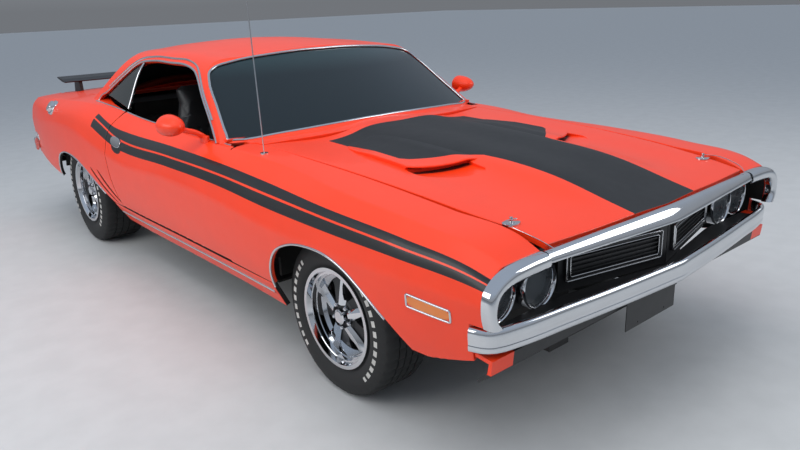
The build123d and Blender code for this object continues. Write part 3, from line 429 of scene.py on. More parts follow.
def hermite(share: np.ndarray, span: np.ndarray, a: np.ndarray, b: np.ndarray, ta: np.ndarray,
            tb: np.ndarray) -> np.ndarray:
    """Cubic between two values with given slopes, at shares from 0 to 1 of a span."""
    q = share
    return (a * (2 * q ** 3 - 3 * q ** 2 + 1) + ta * span * (q ** 3 - 2 * q ** 2 + q)
            + b * (3 * q ** 2 - 2 * q ** 3) + tb * span * (q ** 3 - q ** 2))


@dataclass
class Table:
    """Values at a few stations, joined smoothly.

    Attributes:
        rows: one row per station in millimetres: station, then its values.
    """

    rows: Points

    def __post_init__(self) -> None:
        """Turns the rows into metres and works out the slopes."""
        data = np.array(self.rows, float) / 1000.0
        self.knots, self.values = data[:, 0], data[:, 1:]
        self.slopes = tangents(self.knots, self.values)

    def at(self, station: np.ndarray) -> np.ndarray:
        """Values at stations.

        Args:
            station: any number of stations in metres.

        Returns:
            One row of values for each.
        """
        s = np.atleast_1d(station).astype(float)
        i = np.clip(np.searchsorted(self.knots, s) - 1, 0, len(self.knots) - 2)
        span = (self.knots[i + 1] - self.knots[i])[:, None]
        share = np.clip((s - self.knots[i])[:, None] / span, -0.3, 1.3)
        held = np.clip(share, 0.0, 1.0)
        inside = hermite(held, span, self.values[i], self.values[i + 1], self.slopes[i], self.slopes[i + 1])
        beyond = np.where(share > 1, self.slopes[i + 1] * (share - 1) * span, 0) + np.where(
            share < 0, self.slopes[i] * share * span, 0)
        return inside + beyond


def rounded(points: Points, times: int = 3, closed: bool = True) -> np.ndarray:
    """A line with its corners cut smooth.

    Args:
        points: the corners.
        times: how often each corner is cut.
        closed: True for a loop.

    Returns:
        The new points.
    """
    line = np.array(points, float)
    for _ in range(times):
        following = np.roll(line, -1, axis=0)
        pair = np.stack([line * 0.75 + following * 0.25, line * 0.25 + following * 0.75], axis=1)
        if closed:
            line = pair.reshape(-1, line.shape[1])
        else:
            line = np.vstack([line[:1], pair[:-1].reshape(-1, line.shape[1]), line[-1:]])
    return line


def through(points: Points, per: int = 8) -> np.ndarray:
    """A smooth open line through points, with so many steps between each two."""
    line = np.array(points, float)
    length = np.concatenate([[0], np.cumsum(np.maximum(np.linalg.norm(np.diff(line, axis=0), axis=1), 1e-6))])
    slopes = tangents(length, line)
    made = []
    for i in range(len(line) - 1):
        share = np.linspace(0, 1, per, endpoint=False)[:, None]
        span = length[i + 1] - length[i]
        made.append(hermite(share, span, line[i], line[i + 1], slopes[i], slopes[i + 1]))
    return np.vstack(made + [line[-1:]])


def dense(loop: np.ndarray, step: float, closed: bool = True) -> np.ndarray:
    """A line with points added so that no piece is longer than a step."""
    line = np.vstack([loop, loop[:1]]) if closed else loop
    made = []
    for a, b in zip(line, line[1:]):
        count = max(1, math.ceil(np.linalg.norm(b - a) / step))
        made.append(a + (b - a) * (np.arange(count) / count)[:, None])
    if not closed:
        made.append(line[-1:])
    return np.vstack(made)


def inside(points: np.ndarray, loop: np.ndarray) -> np.ndarray:
    """Which points lie inside a loop."""
    x, y = points[:, 0], points[:, 1]
    result = np.zeros(len(points), bool)
    following = np.roll(loop, -1, axis=0)
    for (ax, ay), (bx, by) in zip(loop, following):
        if ay == by:
            continue
        crosses = (ay > y) != (by > y)
        result ^= crosses & (x < (bx - ax) * (y - ay) / (by - ay) + ax)
    return result


def moved_out(loop: np.ndarray, amount: float, closed: bool = True) -> np.ndarray:
    """A line moved to its right-hand side by an amount."""
    ahead, behind = np.roll(loop, -1, axis=0) - loop, loop - np.roll(loop, 1, axis=0)
    if not closed:
        ahead[-1], behind[0] = behind[-1], ahead[0]
    def right(v: np.ndarray) -> np.ndarray:
        """Unit vectors to the right of v."""
        return np.stack([v[:, 1], -v[:, 0]], axis=1) / np.maximum(np.linalg.norm(v, axis=1), 1e-9)[:, None]
    both = right(ahead) + right(behind)
    size = np.maximum(np.linalg.norm(both, axis=1), 0.6)[:, None]
    return loop + both / size * amount * np.minimum(2 / size, 1.4)


def unit(v: np.ndarray) -> np.ndarray:
    """Vectors with length 1."""
    return v / np.maximum(np.linalg.norm(v, axis=-1, keepdims=True), 1e-12)


# Surfaces and meshes


class Surface:
    """A smooth surface given by two numbers (u, v) in metres."""

    facing = 1.0

    def point(self, uv: np.ndarray) -> np.ndarray:
        """The 3-D points of n (u, v) pairs."""
        raise NotImplementedError

    def axes(self, uv: np.ndarray) -> tuple[np.ndarray, np.ndarray]:
        """Directions in which u and v grow."""
        e = 0.0006
        du, dv = np.array([[e, 0.0]]), np.array([[0.0, e]])
        return tuple((self.point(uv + d) - self.point(uv - d)) / (2 * e) for d in (du, dv))

    def normal(self, uv: np.ndarray) -> np.ndarray:
        """Unit vectors out of the surface."""
        du, dv = self.axes(uv)
        return unit(np.cross(du, dv)) * self.facing


@dataclass
class ProfileSurface(Surface):
    """A surface swept along the car through cross-sections of a few points.

    Attributes:
        table: the cross-section points at each station.
        knots: v of each cross-section point.
        sharp: numbers of the points where the surface has a crease.
        soften: how much of each crease is rounded away, 0 to 1.
        mirrored: True for a surface across the car, with v below 0 on the right.
    """

    table: Table
    knots: tuple[float, ...]
    sharp: tuple[int, ...] = ()
    soften: float = 0.35
    facing: float = 1.0
    mirrored: bool = False

    def corners(self, station: np.ndarray) -> np.ndarray:
        """Cross-section points as an array of (stations, points, x and z)."""
        return self.table.at(station).reshape(len(np.atleast_1d(station)), -1, 2)

    def point(self, uv: np.ndarray) -> np.ndarray:
        """The 3-D points of n (station, v) pairs."""
        s, v = uv[:, 0], uv[:, 1]
        sign = np.where(v < 0, -1.0, 1.0) if self.mirrored else np.ones(len(v))
        v = np.abs(v) if self.mirrored else v
        corner = self.corners(s)
        t = np.array(self.knots)
        count = len(t)
        span = np.diff(t)[None, :, None]
        slope = np.diff(corner, axis=1) / span
        inner = (slope[:, :-1] * span[:, 1:] + slope[:, 1:] * span[:, :-1]) / (span[:, 1:] + span[:, :-1])
        first = slope[:, :1]
        if self.mirrored:
            first = first * np.array([1.0, 0.0])
        before = np.concatenate([first, inner, slope[:, -1:]], axis=1)
        after = before.copy()
        for k in self.sharp:
            mean = before[:, k].copy()
            before[:, k] = slope[:, k - 1] * (1 - self.soften) + mean * self.soften
            after[:, k] = slope[:, k] * (1 - self.soften) + mean * self.soften
        i = np.clip(np.searchsorted(t, v) - 1, 0, count - 2)
        row = np.arange(len(v))
        wide = (t[i + 1] - t[i])[:, None]
        share = (v - t[i])[:, None] / wide
        held = np.clip(share, 0, 1)
        xz = hermite(held, wide, corner[row, i], corner[row, i + 1], after[row, i], before[row, i + 1])
        xz = xz + after[row, i] * np.minimum(share, 0) * wide + before[row, i + 1] * np.maximum(share - 1, 0) * wide
        return np.stack([xz[:, 0] * sign, s - AXLE_TO_ORIGIN, xz[:, 1]], axis=1)

    def v_at_height(self, station: float, z: float, first: float, last: float) -> float:
        """v where the cross-section comes down to a height, searched between two values."""
        v = np.linspace(first, last, 241)
        height = self.point(np.stack([np.full(241, station), v], axis=1))[:, 2]
        below = np.nonzero(height <= z)[0]
        if not len(below):
            return last
        k = below[0]
        if k == 0:
            return first
        share = (height[k - 1] - z) / max(height[k - 1] - height[k], 1e-9)
        return float(v[k - 1] + (v[k] - v[k - 1]) * share)


def smooth(mesh: bpy.types.Mesh) -> None:
    """Shades every face smooth."""
    mesh.polygons.foreach_set("use_smooth", [True] * len(mesh.polygons))


def coords(mesh: bpy.types.Mesh, kind: str = "co") -> np.ndarray:
    """Places of a mesh's vertices, or their normals where the kind is "normal"."""
    values = np.empty(len(mesh.vertices) * 3)
    mesh.vertices.foreach_get(kind, values)
    return values.reshape(-1, 3)


def put_coords(mesh: bpy.types.Mesh, points: np.ndarray) -> None:
    """Moves a mesh's vertices."""
    mesh.vertices.foreach_set("co", points.ravel())


@dataclass
class MeshData:
    """Vertices, faces, a finish number for each face and a normal for each face corner."""

    verts: list[np.ndarray] = field(default_factory=list)
    faces: list[tuple[int, ...]] = field(default_factory=list)
    finish: list[int] = field(default_factory=list)
    normals: list[Sequence[np.ndarray]] = field(default_factory=list)

    def plain(self) -> "MeshData":
        """The same mesh with every face in its first finish."""
        self.finish = [0] * len(self.faces)
        return self

    def object(self, name: str, finishes: Sequence[Look], mirror: bool = False) -> bpy.types.Object:
        """Makes the Blender object.

        Args:
            name: the object's name.
            finishes: the finishes that the face numbers mean.
            mirror: True gives the piece of the other side of the car.

        Returns:
            The new object, in the scene.
        """
        flip = np.array([-1.0, 1.0, 1.0]) if mirror else np.ones(3)
        verts = np.array(self.verts) * flip
        faces = [tuple(reversed(f)) for f in self.faces] if mirror else self.faces
        mesh = bpy.data.meshes.new(name)
        mesh.from_pydata(verts.tolist(), [], faces)
        for finish in finishes:
            mesh.materials.append(finish.material())
        mesh.polygons.foreach_set("material_index", self.finish)
        smooth(mesh)
        if self.normals:
            corner = []
            for rows in self.normals:
                corner.extend(reversed(rows) if mirror else rows)
            mesh.normals_split_custom_set((np.array(corner) * flip).tolist())
        mesh.validate(clean_customdata=False)
        made = bpy.data.objects.new(name, mesh)
        bpy.context.scene.collection.objects.link(made)
        return made


EDGE_STEP = 0.7    # mesh step along an edge, as a share of the panel's
CLEARANCE = 0.45   # grid points nearer to an edge than this share of a step are left out
ROLL_DROP = 0.55   # how far a rolled edge drops, as a share of its width
ROLL_TURN = 0.9    # how far its shading turns outwards
STEEP_RISE = 0.018  # rise from point to point beyond which a round bar's profile is set about Y


@dataclass
class Panel:
    """A sheet-metal panel cut from a surface, with rolled edges and a thickness.

    Attributes:
        surface: the surface it lies on.
        outline: its edge as a loop of (u, v).
        holes: loops cut out of it.
        zones: loops with their finish number, painted differently.
        lines: open lines that mesh edges follow, such as a crease.
        step: size of the mesh.
        thick: depth of the edge.
        roll: width of the rolled edge.
        lift: height above the surface by place, or None.
        inner: number of the finish on its hidden face.
        wall: number of the finish on the walls round its edges.
    """

    surface: Surface
    outline: np.ndarray
    holes: list[np.ndarray] = field(default_factory=list)
    zones: list[tuple[np.ndarray, int]] = field(default_factory=list)
    lines: list[np.ndarray] = field(default_factory=list)
    step: float = 0.018
    thick: float | Callable[[np.ndarray], np.ndarray] = 0.016
    roll: float = 0.004
    lift: Callable[[np.ndarray], np.ndarray] | None = None
    inner: int = 0
    wall: int = 0

    def _flat_mesh(self) -> tuple[np.ndarray, list[list[int]]]:
        """Triangles of the panel in (u, v).

        Returns:
            The points and the faces.
        """
        loops = [self.outline, *self.holes]
        rings = []
        for number, loop in enumerate(loops):
            area = np.sum(loop[:, 0] * np.roll(loop[:, 1], -1) - np.roll(loop[:, 0], -1) * loop[:, 1])
            inward = -1.0 if (area > 0) == (number == 0) else 1.0
            rings.append(moved_out(loop, inward * self.roll))
        step = self.step * EDGE_STEP
        chains = [(dense(loop, step), True) for loop in [*loops, *rings, *(z for z, _ in self.zones)]]
        chains += [(dense(line, step, False), False) for line in self.lines]
        points, edges = [], []
        for chain, closed in chains:
            start = len(points)
            points.extend(chain.tolist())
            edges += [(start + i, start + i + 1) for i in range(len(chain) - 1)]
            if closed:
                edges.append((start + len(chain) - 1, start))
        low, high = self.outline.min(0), self.outline.max(0)
        counts = np.maximum(np.ceil((high - low) / self.step).astype(int), 1)
        gu, gv = np.meshgrid(np.linspace(low[0], high[0], counts[0] + 1), np.linspace(low[1], high[1], counts[1] + 1))
        grid = np.stack([gu.ravel(), gv.ravel()], axis=1)
        keep = inside(grid, self.outline)
        for hole in self.holes:
            keep &= ~inside(grid, hole)
        grid = grid[keep]
        fixed = np.array(points)
        near = np.full(len(grid), 1e9)
        for start in range(0, len(fixed), 400):
            gap = np.linalg.norm(grid[:, None] - fixed[None, start:start + 400], axis=2).min(1)
            near = np.minimum(near, gap)
        points.extend(grid[near > self.step * CLEARANCE].tolist())
        made = delaunay_2d_cdt([Vector(p) for p in points], edges, [], 0, 1e-7, False)
        flat = np.array([tuple(p) for p in made[0]])
        faces = [list(f) for f in made[2]]
        middle = np.array([flat[f].mean(0) for f in faces])
        keep = inside(middle, self.outline)
        for hole in self.holes:
            keep &= ~inside(middle, hole)
        return flat, [f for f, good in zip(faces, keep) if good]

    def data(self) -> MeshData:
        """Builds the panel.

        Returns:
            Its mesh.
        """
        flat, faces = self._flat_mesh()
        used = sorted({i for f in faces for i in f})
        index = {old: new for new, old in enumerate(used)}
        flat = flat[used]
        faces = [[index[i] for i in f] for f in faces]
        top, normal = self.surface.point(flat), self.surface.normal(flat)
        du, dv = self.surface.axes(flat)
        if self.lift is not None:
            top = top + normal * self.lift(flat)[:, None]
        up = np.cross(top[faces[0][1]] - top[faces[0][0]], top[faces[0][2]] - top[faces[0][0]])
        if np.dot(up, normal[faces[0][0]]) < 0:
            faces = [f[::-1] for f in faces]
        seen: dict[tuple[int, int], int] = {}
        for f in faces:
            for a, b in zip(f, f[1:] + f[:1]):
                seen[(a, b)] = 1
        rim = [(a, b) for a, b in seen if (b, a) not in seen]
        out = np.zeros((len(flat), 3))
        edge = np.zeros(len(flat), bool)
        for a, b in rim:
            along = top[b] - top[a]
            away = np.cross(along, normal[a])
            away /= max(np.linalg.norm(away), 1e-12)
            out[a] += away
            out[b] += away
            edge[a] = edge[b] = True
        out[edge] = unit(out[edge])
        if self.lift is not None:
            shade = np.zeros_like(normal)
            for f in faces:
                face = np.cross(top[f[1]] - top[f[0]], top[f[2]] - top[f[0]])
                for i in f:
                    shade[i] += face
            normal_top = unit(shade)
        else:
            normal_top = normal.copy()
        low = top - normal * (self.thick(flat)[:, None] if callable(self.thick) else self.thick)
        top = top - normal * (edge * self.roll * ROLL_DROP)[:, None]
        normal_top[edge] = unit(normal_top[edge] + out[edge] * ROLL_TURN)
        count = len(flat)
        mesh = MeshData(list(top) + list(low))
        middle = np.array([flat[f].mean(0) for f in faces])
        number = np.zeros(len(faces), int)
        for loop, value in self.zones:
            number[inside(middle, loop)] = value
        for f, value in zip(faces, number):
            mesh.faces.append(tuple(f))
            mesh.finish.append(int(value))
            mesh.normals.append([normal_top[i] for i in f])
        for f in faces:
            mesh.faces.append(tuple(count + i for i in reversed(f)))
            mesh.finish.append(self.inner)
            mesh.normals.append([-normal[i] for i in reversed(f)])
        for a, b in rim:
            mesh.faces.append((b, a, count + a, count + b))
            mesh.finish.append(self.wall)
            mesh.normals.append([out[b], out[a], out[a], out[b]])
        return mesh


def sweep(path: np.ndarray, up: np.ndarray, profile: Points, closed: bool = False) -> MeshData:
    """A bar along a path.

    Args:
        path: the points it follows.
        up: the direction of the profile's second axis at each point.
        profile: its cross-section as a loop of (across, up) in metres.
        closed: True joins the ends.

    Returns:
        Its mesh, with end caps where it is open.
    """
    ahead = np.roll(path, -1, axis=0) - path
    behind = path - np.roll(path, 1, axis=0)
    if not closed:
        ahead[-1], behind[0] = behind[-1], ahead[0]
    along = unit(unit(ahead) + unit(behind))
    across = unit(np.cross(along, up))
    rise = unit(np.cross(across, along))
    loops = [[p + side * a + top * b for a, b in profile] for p, side, top in zip(path, across, rise)]
    return loft(loops, not closed, ring=closed)


def bead(surface: Surface, line: np.ndarray, wide: float, high: float, closed: bool = False,
         sunk: float = 0.0) -> MeshData:
    """A crowned strip along a (u, v) line of a surface, sunk into it by an amount."""
    normal = surface.normal(line)
    return sweep(surface.point(line) - normal * sunk, normal, half_round(wide, high), closed)


def box_loop(x0: float, x1: float, z0: float, z1: float, step: float) -> np.ndarray:
    """A rectangle of (x, z) with rounded corners."""
    return rounded(dense(np.array([(x0, z0), (x1, z0), (x1, z1), (x0, z1)]), step), 1)


def level(height: float) -> Callable[[np.ndarray], np.ndarray]:
    """A lift that is the same everywhere."""
    return lambda uv: np.full(len(uv), height)


def half_round(wide: float, high: float, steps: int = 6) -> list[tuple[float, float]]:
    """A crowned strip's cross-section, flat below."""
    arc = [(math.cos(math.pi * i / steps) * wide / 2, math.sin(math.pi * i / steps) * high) for i in range(steps + 1)]
    return arc + [(-wide / 2, -0.002), (wide / 2, -0.002)]


def lathe(profile: Points, steps: int, centre: Sequence[float], axis: str = "X") -> MeshData:
    """A turned form.

    Args:
        profile: (distance along the axis, radius) points from one end to the other.
        steps: pieces round the turn.
        centre: the middle of the turn.
        axis: X or Y, the axis it turns about.

    Returns:
        Its mesh.
    """
    mesh = MeshData()
    m = len(profile)
    for i in range(steps):
        c, s = math.cos(2 * math.pi * i / steps), math.sin(2 * math.pi * i / steps)
        for a, r in profile:
            local = (a, r * c, r * s) if axis == "X" else (r * c, a, -r * s)
            mesh.verts.append(np.array(centre) + local)
    for i in range(steps):
        j = (i + 1) % steps
        for k in range(m - 1):
            mesh.faces.append((i * m + k, j * m + k, j * m + k + 1, i * m + k + 1))
    return mesh.plain()


def finish_edges(piece: bpy.types.Object, angle: float = 40.0, bevel: float = 0.0) -> bpy.types.Object:
    """Joins doubled points, rounds and shades a piece's edges.

    Args:
        piece: the object.
        angle: edges sharper than this many degrees stay sharp.
        bevel: width of a rounding on those edges.

    Returns:
        The same object.
    """
    work = bmesh.new()
    work.from_mesh(piece.data)
    bmesh.ops.remove_doubles(work, verts=work.verts, dist=1e-6)
    bmesh.ops.recalc_face_normals(work, faces=work.faces)
    if bevel:
        limit = math.radians(angle)
        edges = [e for e in work.edges if len(e.link_faces) == 2 and e.calc_face_angle(0) > limit]
        bmesh.ops.bevel(work, geom=edges, offset=bevel, segments=2, profile=0.5, affect="EDGES",
                        clamp_overlap=True)
    work.to_mesh(piece.data)
    work.free()
    smooth(piece.data)
    piece.data.set_sharp_from_angle(angle=math.radians(angle))
    return piece


def joined(parts: Sequence[MeshData]) -> MeshData:
    """Several meshes as one."""
    whole = MeshData()
    for part in parts:
        start = len(whole.verts)
        whole.verts += list(part.verts)
        whole.faces += [tuple(start + i for i in f) for f in part.faces]
        whole.finish += list(part.finish)
        whole.normals += list(part.normals)
    return whole


def slab(loop: Points, low: float, high: float, axis: str) -> MeshData:
    """A flat plate from an outline.

    Args:
        loop: its outline, as (x, y) for axis Z, (x, z) for axis Y or (y, z) for axis X.
        low: where it starts along the axis.
        high: where it ends.
        axis: X, Y or Z.

    Returns:
        Its mesh.
    """
    order = {"Z": lambda a, b, h: (a, b, h), "Y": lambda a, b, h: (a, h, b), "X": lambda a, b, h: (h, a, b)}[axis]
    mesh = MeshData()
    n = len(loop)
    mesh.verts = [np.array(order(a, b, h), float) for h in (low, high) for a, b in loop]
    mesh.faces = [tuple(range(n))[::-1], tuple(range(n, 2 * n))]
    mesh.faces += [(i, (i + 1) % n, n + (i + 1) % n, n + i) for i in range(n)]
    return mesh.plain()


def loft(loops: Sequence[np.ndarray], ends: bool = True, closed: bool = True, ring: bool = False) -> MeshData:
    """A skin over loops of equal length.

    Args:
        loops: the loops in order, as 3-D points.
        ends: True closes the first and last.
        closed: True where each loop's last point joins its first.
        ring: True joins the last loop to the first.

    Returns:
        Its mesh.
    """
    mesh = MeshData([p for loop in loops for p in loop])
    n, m = len(loops), len(loops[0])
    for i in range(n if ring else n - 1):
        j = (i + 1) % n
        for k in range(m if closed else m - 1):
            q = (k + 1) % m
            mesh.faces.append((i * m + k, i * m + q, j * m + q, j * m + k))
    if ends:
        mesh.faces += [tuple(range(m))[::-1], tuple((n - 1) * m + k for k in range(m))]
    return mesh.plain()


def tube(path: np.ndarray, radius: float, closed: bool = False, sides: int = 8) -> MeshData:
    """A round bar along a path."""
    turns = [2 * math.pi * k / sides for k in range(sides)]
    ring = [(radius * math.cos(a), radius * math.sin(a)) for a in turns]
    steep = np.abs(np.gradient(path, axis=0)[:, 2:]) > STEEP_RISE
    up = np.where(steep, (0.0, 1.0, 0.1), (0.0, 0.05, 1.0))
    return sweep(path, up, ring, closed)


def fix(piece: bpy.types.Object, body: str) -> bpy.types.Object:
    """Makes a piece ride on a body.

    Args:
        piece: the object.
        body: the body's name.

    Returns:
        The same object.
    """
    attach(piece, body)
    return piece


def single(mesh: MeshData, name: str, finishes: Sequence[Look], body: str, angle: float = 40.0,
           bevel: float = 0.0, node: str = "", mirror: bool = False) -> bpy.types.Object:
    """Makes one piece.

    Args:
        mesh: its mesh, whose edges are finished where it has no normals of its own.
        name: its name.
        finishes: its finishes.
        body: the body it rides on.
        angle: edges sharper than this stay sharp, in degrees.
        bevel: width of a rounding on those edges.
        node: the frame's node that it stands for, or empty.
        mirror: True gives the piece of the other side.

    Returns:
        The piece.
    """
    piece = mesh.object(name, finishes, mirror)
    if not mesh.normals:
        finish_edges(piece, angle, bevel)
    if node:
        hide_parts(node)
    return fix(piece, body)


def pair(mesh: MeshData, name: str, finishes: Sequence[Look], body: str, slot: Slot, angle: float = 40.0,
         bevel: float = 0.0, node: str = "") -> list[bpy.types.Object]:
    """Makes a left piece and its mirror image.

    Args:
        mesh: the left piece.
        name: their name, to which the side is added.
        finishes: their finishes.
        body: the body that both ride on, with {} where it names the side.
        slot: the record's material slot; not used.
        angle: edges sharper than this stay sharp, in degrees.
        bevel: width of a rounding on those edges.
        node: the frame's node that both stand for, or empty.

    Returns:
        The two pieces.
    """
    return [single(mesh, f"{name}_{side.word}", finishes, body.format(side.word), angle, bevel, node,
                   side is Side.RIGHT) for side in Side]


# Body panels


def side_points(rows: Points) -> list[list[float]]:
    """Cross-section points of the body side with the shoulder put in between crown and crease."""
    made = []
    for s, gx, gz, cx, cz, rx, rz, lx, lz, fx, fz in rows:
        made.append([s, gx, gz, cx, cz, cx + 0.58 * (rx - cx), cz - 0.28 * (cz - rz), rx, rz, lx, lz, fx, fz])
    return made


@dataclass
class BodySide:
    """Fenders, doors, rear quarters and sills.

    Attributes:
        rows: cross-sections of the side, in millimetres: station, then x and z of the lid gap, the
            crown, the crease, the low line and the foot.
        knots: distance round the cross-section of each of its points.
        door: the door's front edge in the side view, from the top, as (station, z).
        door_rear: its rear edge, from the bottom.
        front_arch: the front wheel arch, as (station, z).
        rear_arch: the rear wheel arch.
        gap: width of the running gap round the door.
        sill_z: height where the sill meets the panels above it.
        stripe_end: station where the side bands end.
        louvres: station of each louvre's top and foot.
    """

    rows: Points = ((-852, 672, 776, 842, 770, 922, 668, 900, 500, 880, 380),
                    (-800, 672, 799, 850, 790, 928, 669, 905, 490, 880, 370),
                    (-500, 690, 838, 862, 829, 950, 670, 932, 470, 890, 330),
                    (-100, 698, 872, 856, 853, 956, 664, 938, 450, 880, 280),
                    (350, 701, 893, 806, 873, 953, 666, 925, 425, 850, 262),
                    (650, 703, 903, 826, 893, 955, 690, 922, 420, 842, 262),
                    (1250, 740, 908, 822, 904, 956, 707, 920, 418, 840, 262),
                    (1900, 740, 925, 812, 918, 957, 693, 924, 418, 842, 262),
                    (2200, 735, 945, 815, 938, 961, 735, 932, 430, 845, 270),
                    (2600, 700, 965, 850, 950, 966, 800, 945, 440, 860, 300),
                    (3000, 680, 958, 872, 938, 963, 800, 940, 450, 880, 330),
                    (3500, 672, 930, 862, 913, 935, 766, 918, 465, 890, 380),
                    (3835, 660, 905, 826, 888, 893, 743, 880, 500, 860, 430))
    knots: tuple[float, ...] = (0.0, 0.14, 0.22, 0.37, 0.62, 0.80)
    door: Points = ((0.745, 0.890), (0.708, 0.862), (0.682, 0.828), (0.662, 0.750), (0.666, 0.640), (0.684, 0.520),
                    (0.700, 0.402))
    door_rear: Points = ((2.010, 0.402), (2.038, 0.480), (2.062, 0.560), (2.075, 0.640), (2.080, 0.720),
                         (2.080, 0.905))
    front_arch: Points = ((0.350, 0.250), (0.336, 0.380), (0.318, 0.459), (0.248, 0.568), (0.138, 0.625),
                          (0.0, 0.651), (-0.130, 0.648), (-0.230, 0.620), (-0.315, 0.575), (-0.427, 0.497),
                          (-0.530, 0.412))
    rear_arch: Points = ((3.170, 0.400), (3.130, 0.470), (3.042, 0.568), (2.960, 0.600), (2.880, 0.616),
                         (2.740, 0.618), (2.600, 0.596), (2.473, 0.553), (2.340, 0.490), (2.246, 0.440),
                         (2.160, 0.392))
    gap: float = 0.0065
    sill_z: float = 0.393
    stripe_end: float = 2.327
    louvres: Points = ((2.405, 2.094), (2.289, 1.997))

    def __post_init__(self) -> None:
        """Makes the smooth skin."""
        self.skin = ProfileSurface(Table(side_points(self.rows)), self.knots, sharp=(1, 3), soften=0.3, facing=-1.0)

    def on_side(self, line: Points) -> np.ndarray:
        """A side-view line of (station, z) as (station, v) on the skin."""
        return np.array([(s, self.skin.v_at_height(s, z, 0.10, 0.80)) for s, z in line])

    def stripe_zones(self) -> list[tuple[np.ndarray, int]]:
        """The two black bands along the side, as zones of finish 1.

        Returns:
            One loop for each band.
        """
        def line(*points: tuple[float, float]) -> np.ndarray:
            """A smooth line along the car."""
            return through(points, 5)

        crown = line((-0.88, 0.217), (-0.60, 0.212), (0.0, 0.214), (0.72, 0.213), (1.30, 0.213), (1.84, 0.217),
                     (2.065, 0.219), (2.20, 0.208), (self.stripe_end, 0.190))
        upper = line((-0.88, 0.245), (-0.50, 0.246), (0.0, 0.248), (0.72, 0.256), (1.37, 0.262), (1.84, 0.261),
                     (2.0, 0.256), (2.12, 0.243), (self.stripe_end, 0.217))
        lower = upper + (0.0, 0.009)
        foot = line((-0.88, 0.292), (-0.50, 0.296), (0.0, 0.300), (0.72, 0.307), (1.34, 0.315), (1.76, 0.312),
                    (2.0, 0.309), (2.14, 0.299), (self.stripe_end, 0.278))
        return [(np.vstack([crown, upper[::-1]]), 1), (np.vstack([lower, foot[::-1]]), 1)]

    def crease_line(self, first: float, last: float) -> np.ndarray:
        """The crease between two stations, as (station, v)."""
        s = np.linspace(first, last, max(2, int((last - first) / 0.03)))
        return np.stack([s, np.full(len(s), self.knots[3])], axis=1)

    def door_front(self, shift: float) -> np.ndarray:
        """The door's front edge from top to bottom, moved forward by a shift."""
        return moved_out(through(self.door, 6), shift, closed=False)

    def door_back(self, shift: float) -> np.ndarray:
        """The door's rear edge from bottom to top, moved rearward by a shift."""
        return moved_out(through(self.door_rear, 6), shift, closed=False)

    def painted(self, panel: Panel, name: str, inner: Finish, side: Side, node: str,
                body: str = "chassis") -> bpy.types.Object:
        """Makes one side's painted panel with its bands.

        Args:
            panel: the left panel.
            name: its name, to which the side is added.
            inner: finish of its hidden face.
            side: which side to make.
            node: the frame's node that it stands for.
            body: the body it rides on.

        Returns:
            The new piece.
        """
        return single(panel.data(), f"{name}_{side.word}", (ORANGE, BLACK_VINYL_STRIPE, inner), body,
                      node=node, mirror=side is Side.RIGHT)

    def build_door(self, side: Side) -> bpy.types.Object:
        """The door's outer skin."""
        v_top = self.knots[1] - 0.03
        front, back = self.on_side(self.door_front(0.0)), self.on_side(self.door_back(0.0))
        top = np.array([(back[-1][0], v_top), (0.775, v_top), (0.762, self.knots[1])])
        outline = np.vstack([front, [(0.705, front[-1][1])], [(2.005, back[0][1])], back, top])
        panel = Panel(self.skin, outline, [], self.stripe_zones(), [self.crease_line(0.68, 2.06)], thick=0.024,
                      inner=2, wall=2)
        return self.painted(panel, "door_skin", DASH_BLACK, side, f"door_{side.word}", f"door_{side.word}_body")

    def build_fender(self, side: Side) -> bpy.types.Object:
        """A front fender."""
        door = self.on_side(self.door_front(-self.gap))
        arch = self.on_side(through(self.front_arch, 4)[3:])
        nose = [(-0.600, 0.412), (-0.796, 0.470), (-0.796, 0.598), (-0.852, 0.598)]
        nose_uv = self.on_side(nose)
        bottom = self.on_side([(0.700 - self.gap, self.sill_z + 0.002), (0.334, self.sill_z + 0.002)])
        outline = np.vstack([[(-0.852, 0.0)], [(0.775, 0.0)], [(0.765, 0.10)], door, bottom, arch[2:], nose_uv])
        panel = Panel(self.skin, outline, [], self.stripe_zones(), [self.crease_line(-0.85, 0.655)], thick=0.018,
                      inner=2)
        return self.painted(panel, "fender", UNDERBODY, side, "fenders")

    def build_quarter(self, side: Side) -> bpy.types.Object:
        """A rear quarter."""
        door = self.on_side(self.door_back(self.gap)[::-1])
        arch = self.on_side(through(self.rear_arch, 4))
        bottom = self.on_side([(2.010 + self.gap, self.sill_z + 0.002), (2.150, self.sill_z + 0.002)])
        tail = self.on_side([(3.500, 0.452), (3.835, 0.490), (3.835, 0.55)])
        outline = np.vstack([[(3.835, 0.0), (3.06, 0.0), (2.60, 0.0), (2.10, 0.10)], door, bottom, arch[::-1], tail])
        panel = Panel(self.skin, outline, self.louvre_loops(), self.stripe_zones(), [self.crease_line(2.09, 3.83)],
                      thick=0.018, inner=2, wall=2)
        return self.painted(panel, "quarter", UNDERBODY, side, "quarter_panels")

    def build_sill(self, side: Side) -> bpy.types.Object:
        """A sill below the door."""
        top = self.on_side([(2.170, self.sill_z - 0.002), (0.352, self.sill_z - 0.002)])
        outline = np.vstack([top, [(0.356, 0.795)], [(2.150, 0.795)]])
        panel = Panel(self.skin, outline, thick=0.022, inner=1, wall=1).data()
        panel.normals = []
        return single(panel, f"sill_{side.word}", (ORANGE, UNDERBODY), "chassis", node="rockers",
                      mirror=side is Side.RIGHT)

    def louvre_loops(self) -> list[np.ndarray]:
        """The two slanted louvres behind the door, as (station, v)."""
        made = []
        for top, foot in self.louvres:
            line = [(top + 0.004, 0.588), (foot + 0.004, 0.406), (foot - 0.036, 0.402), (top - 0.032, 0.585)]
            made.append(rounded(self.on_side(line), 2))
        return made

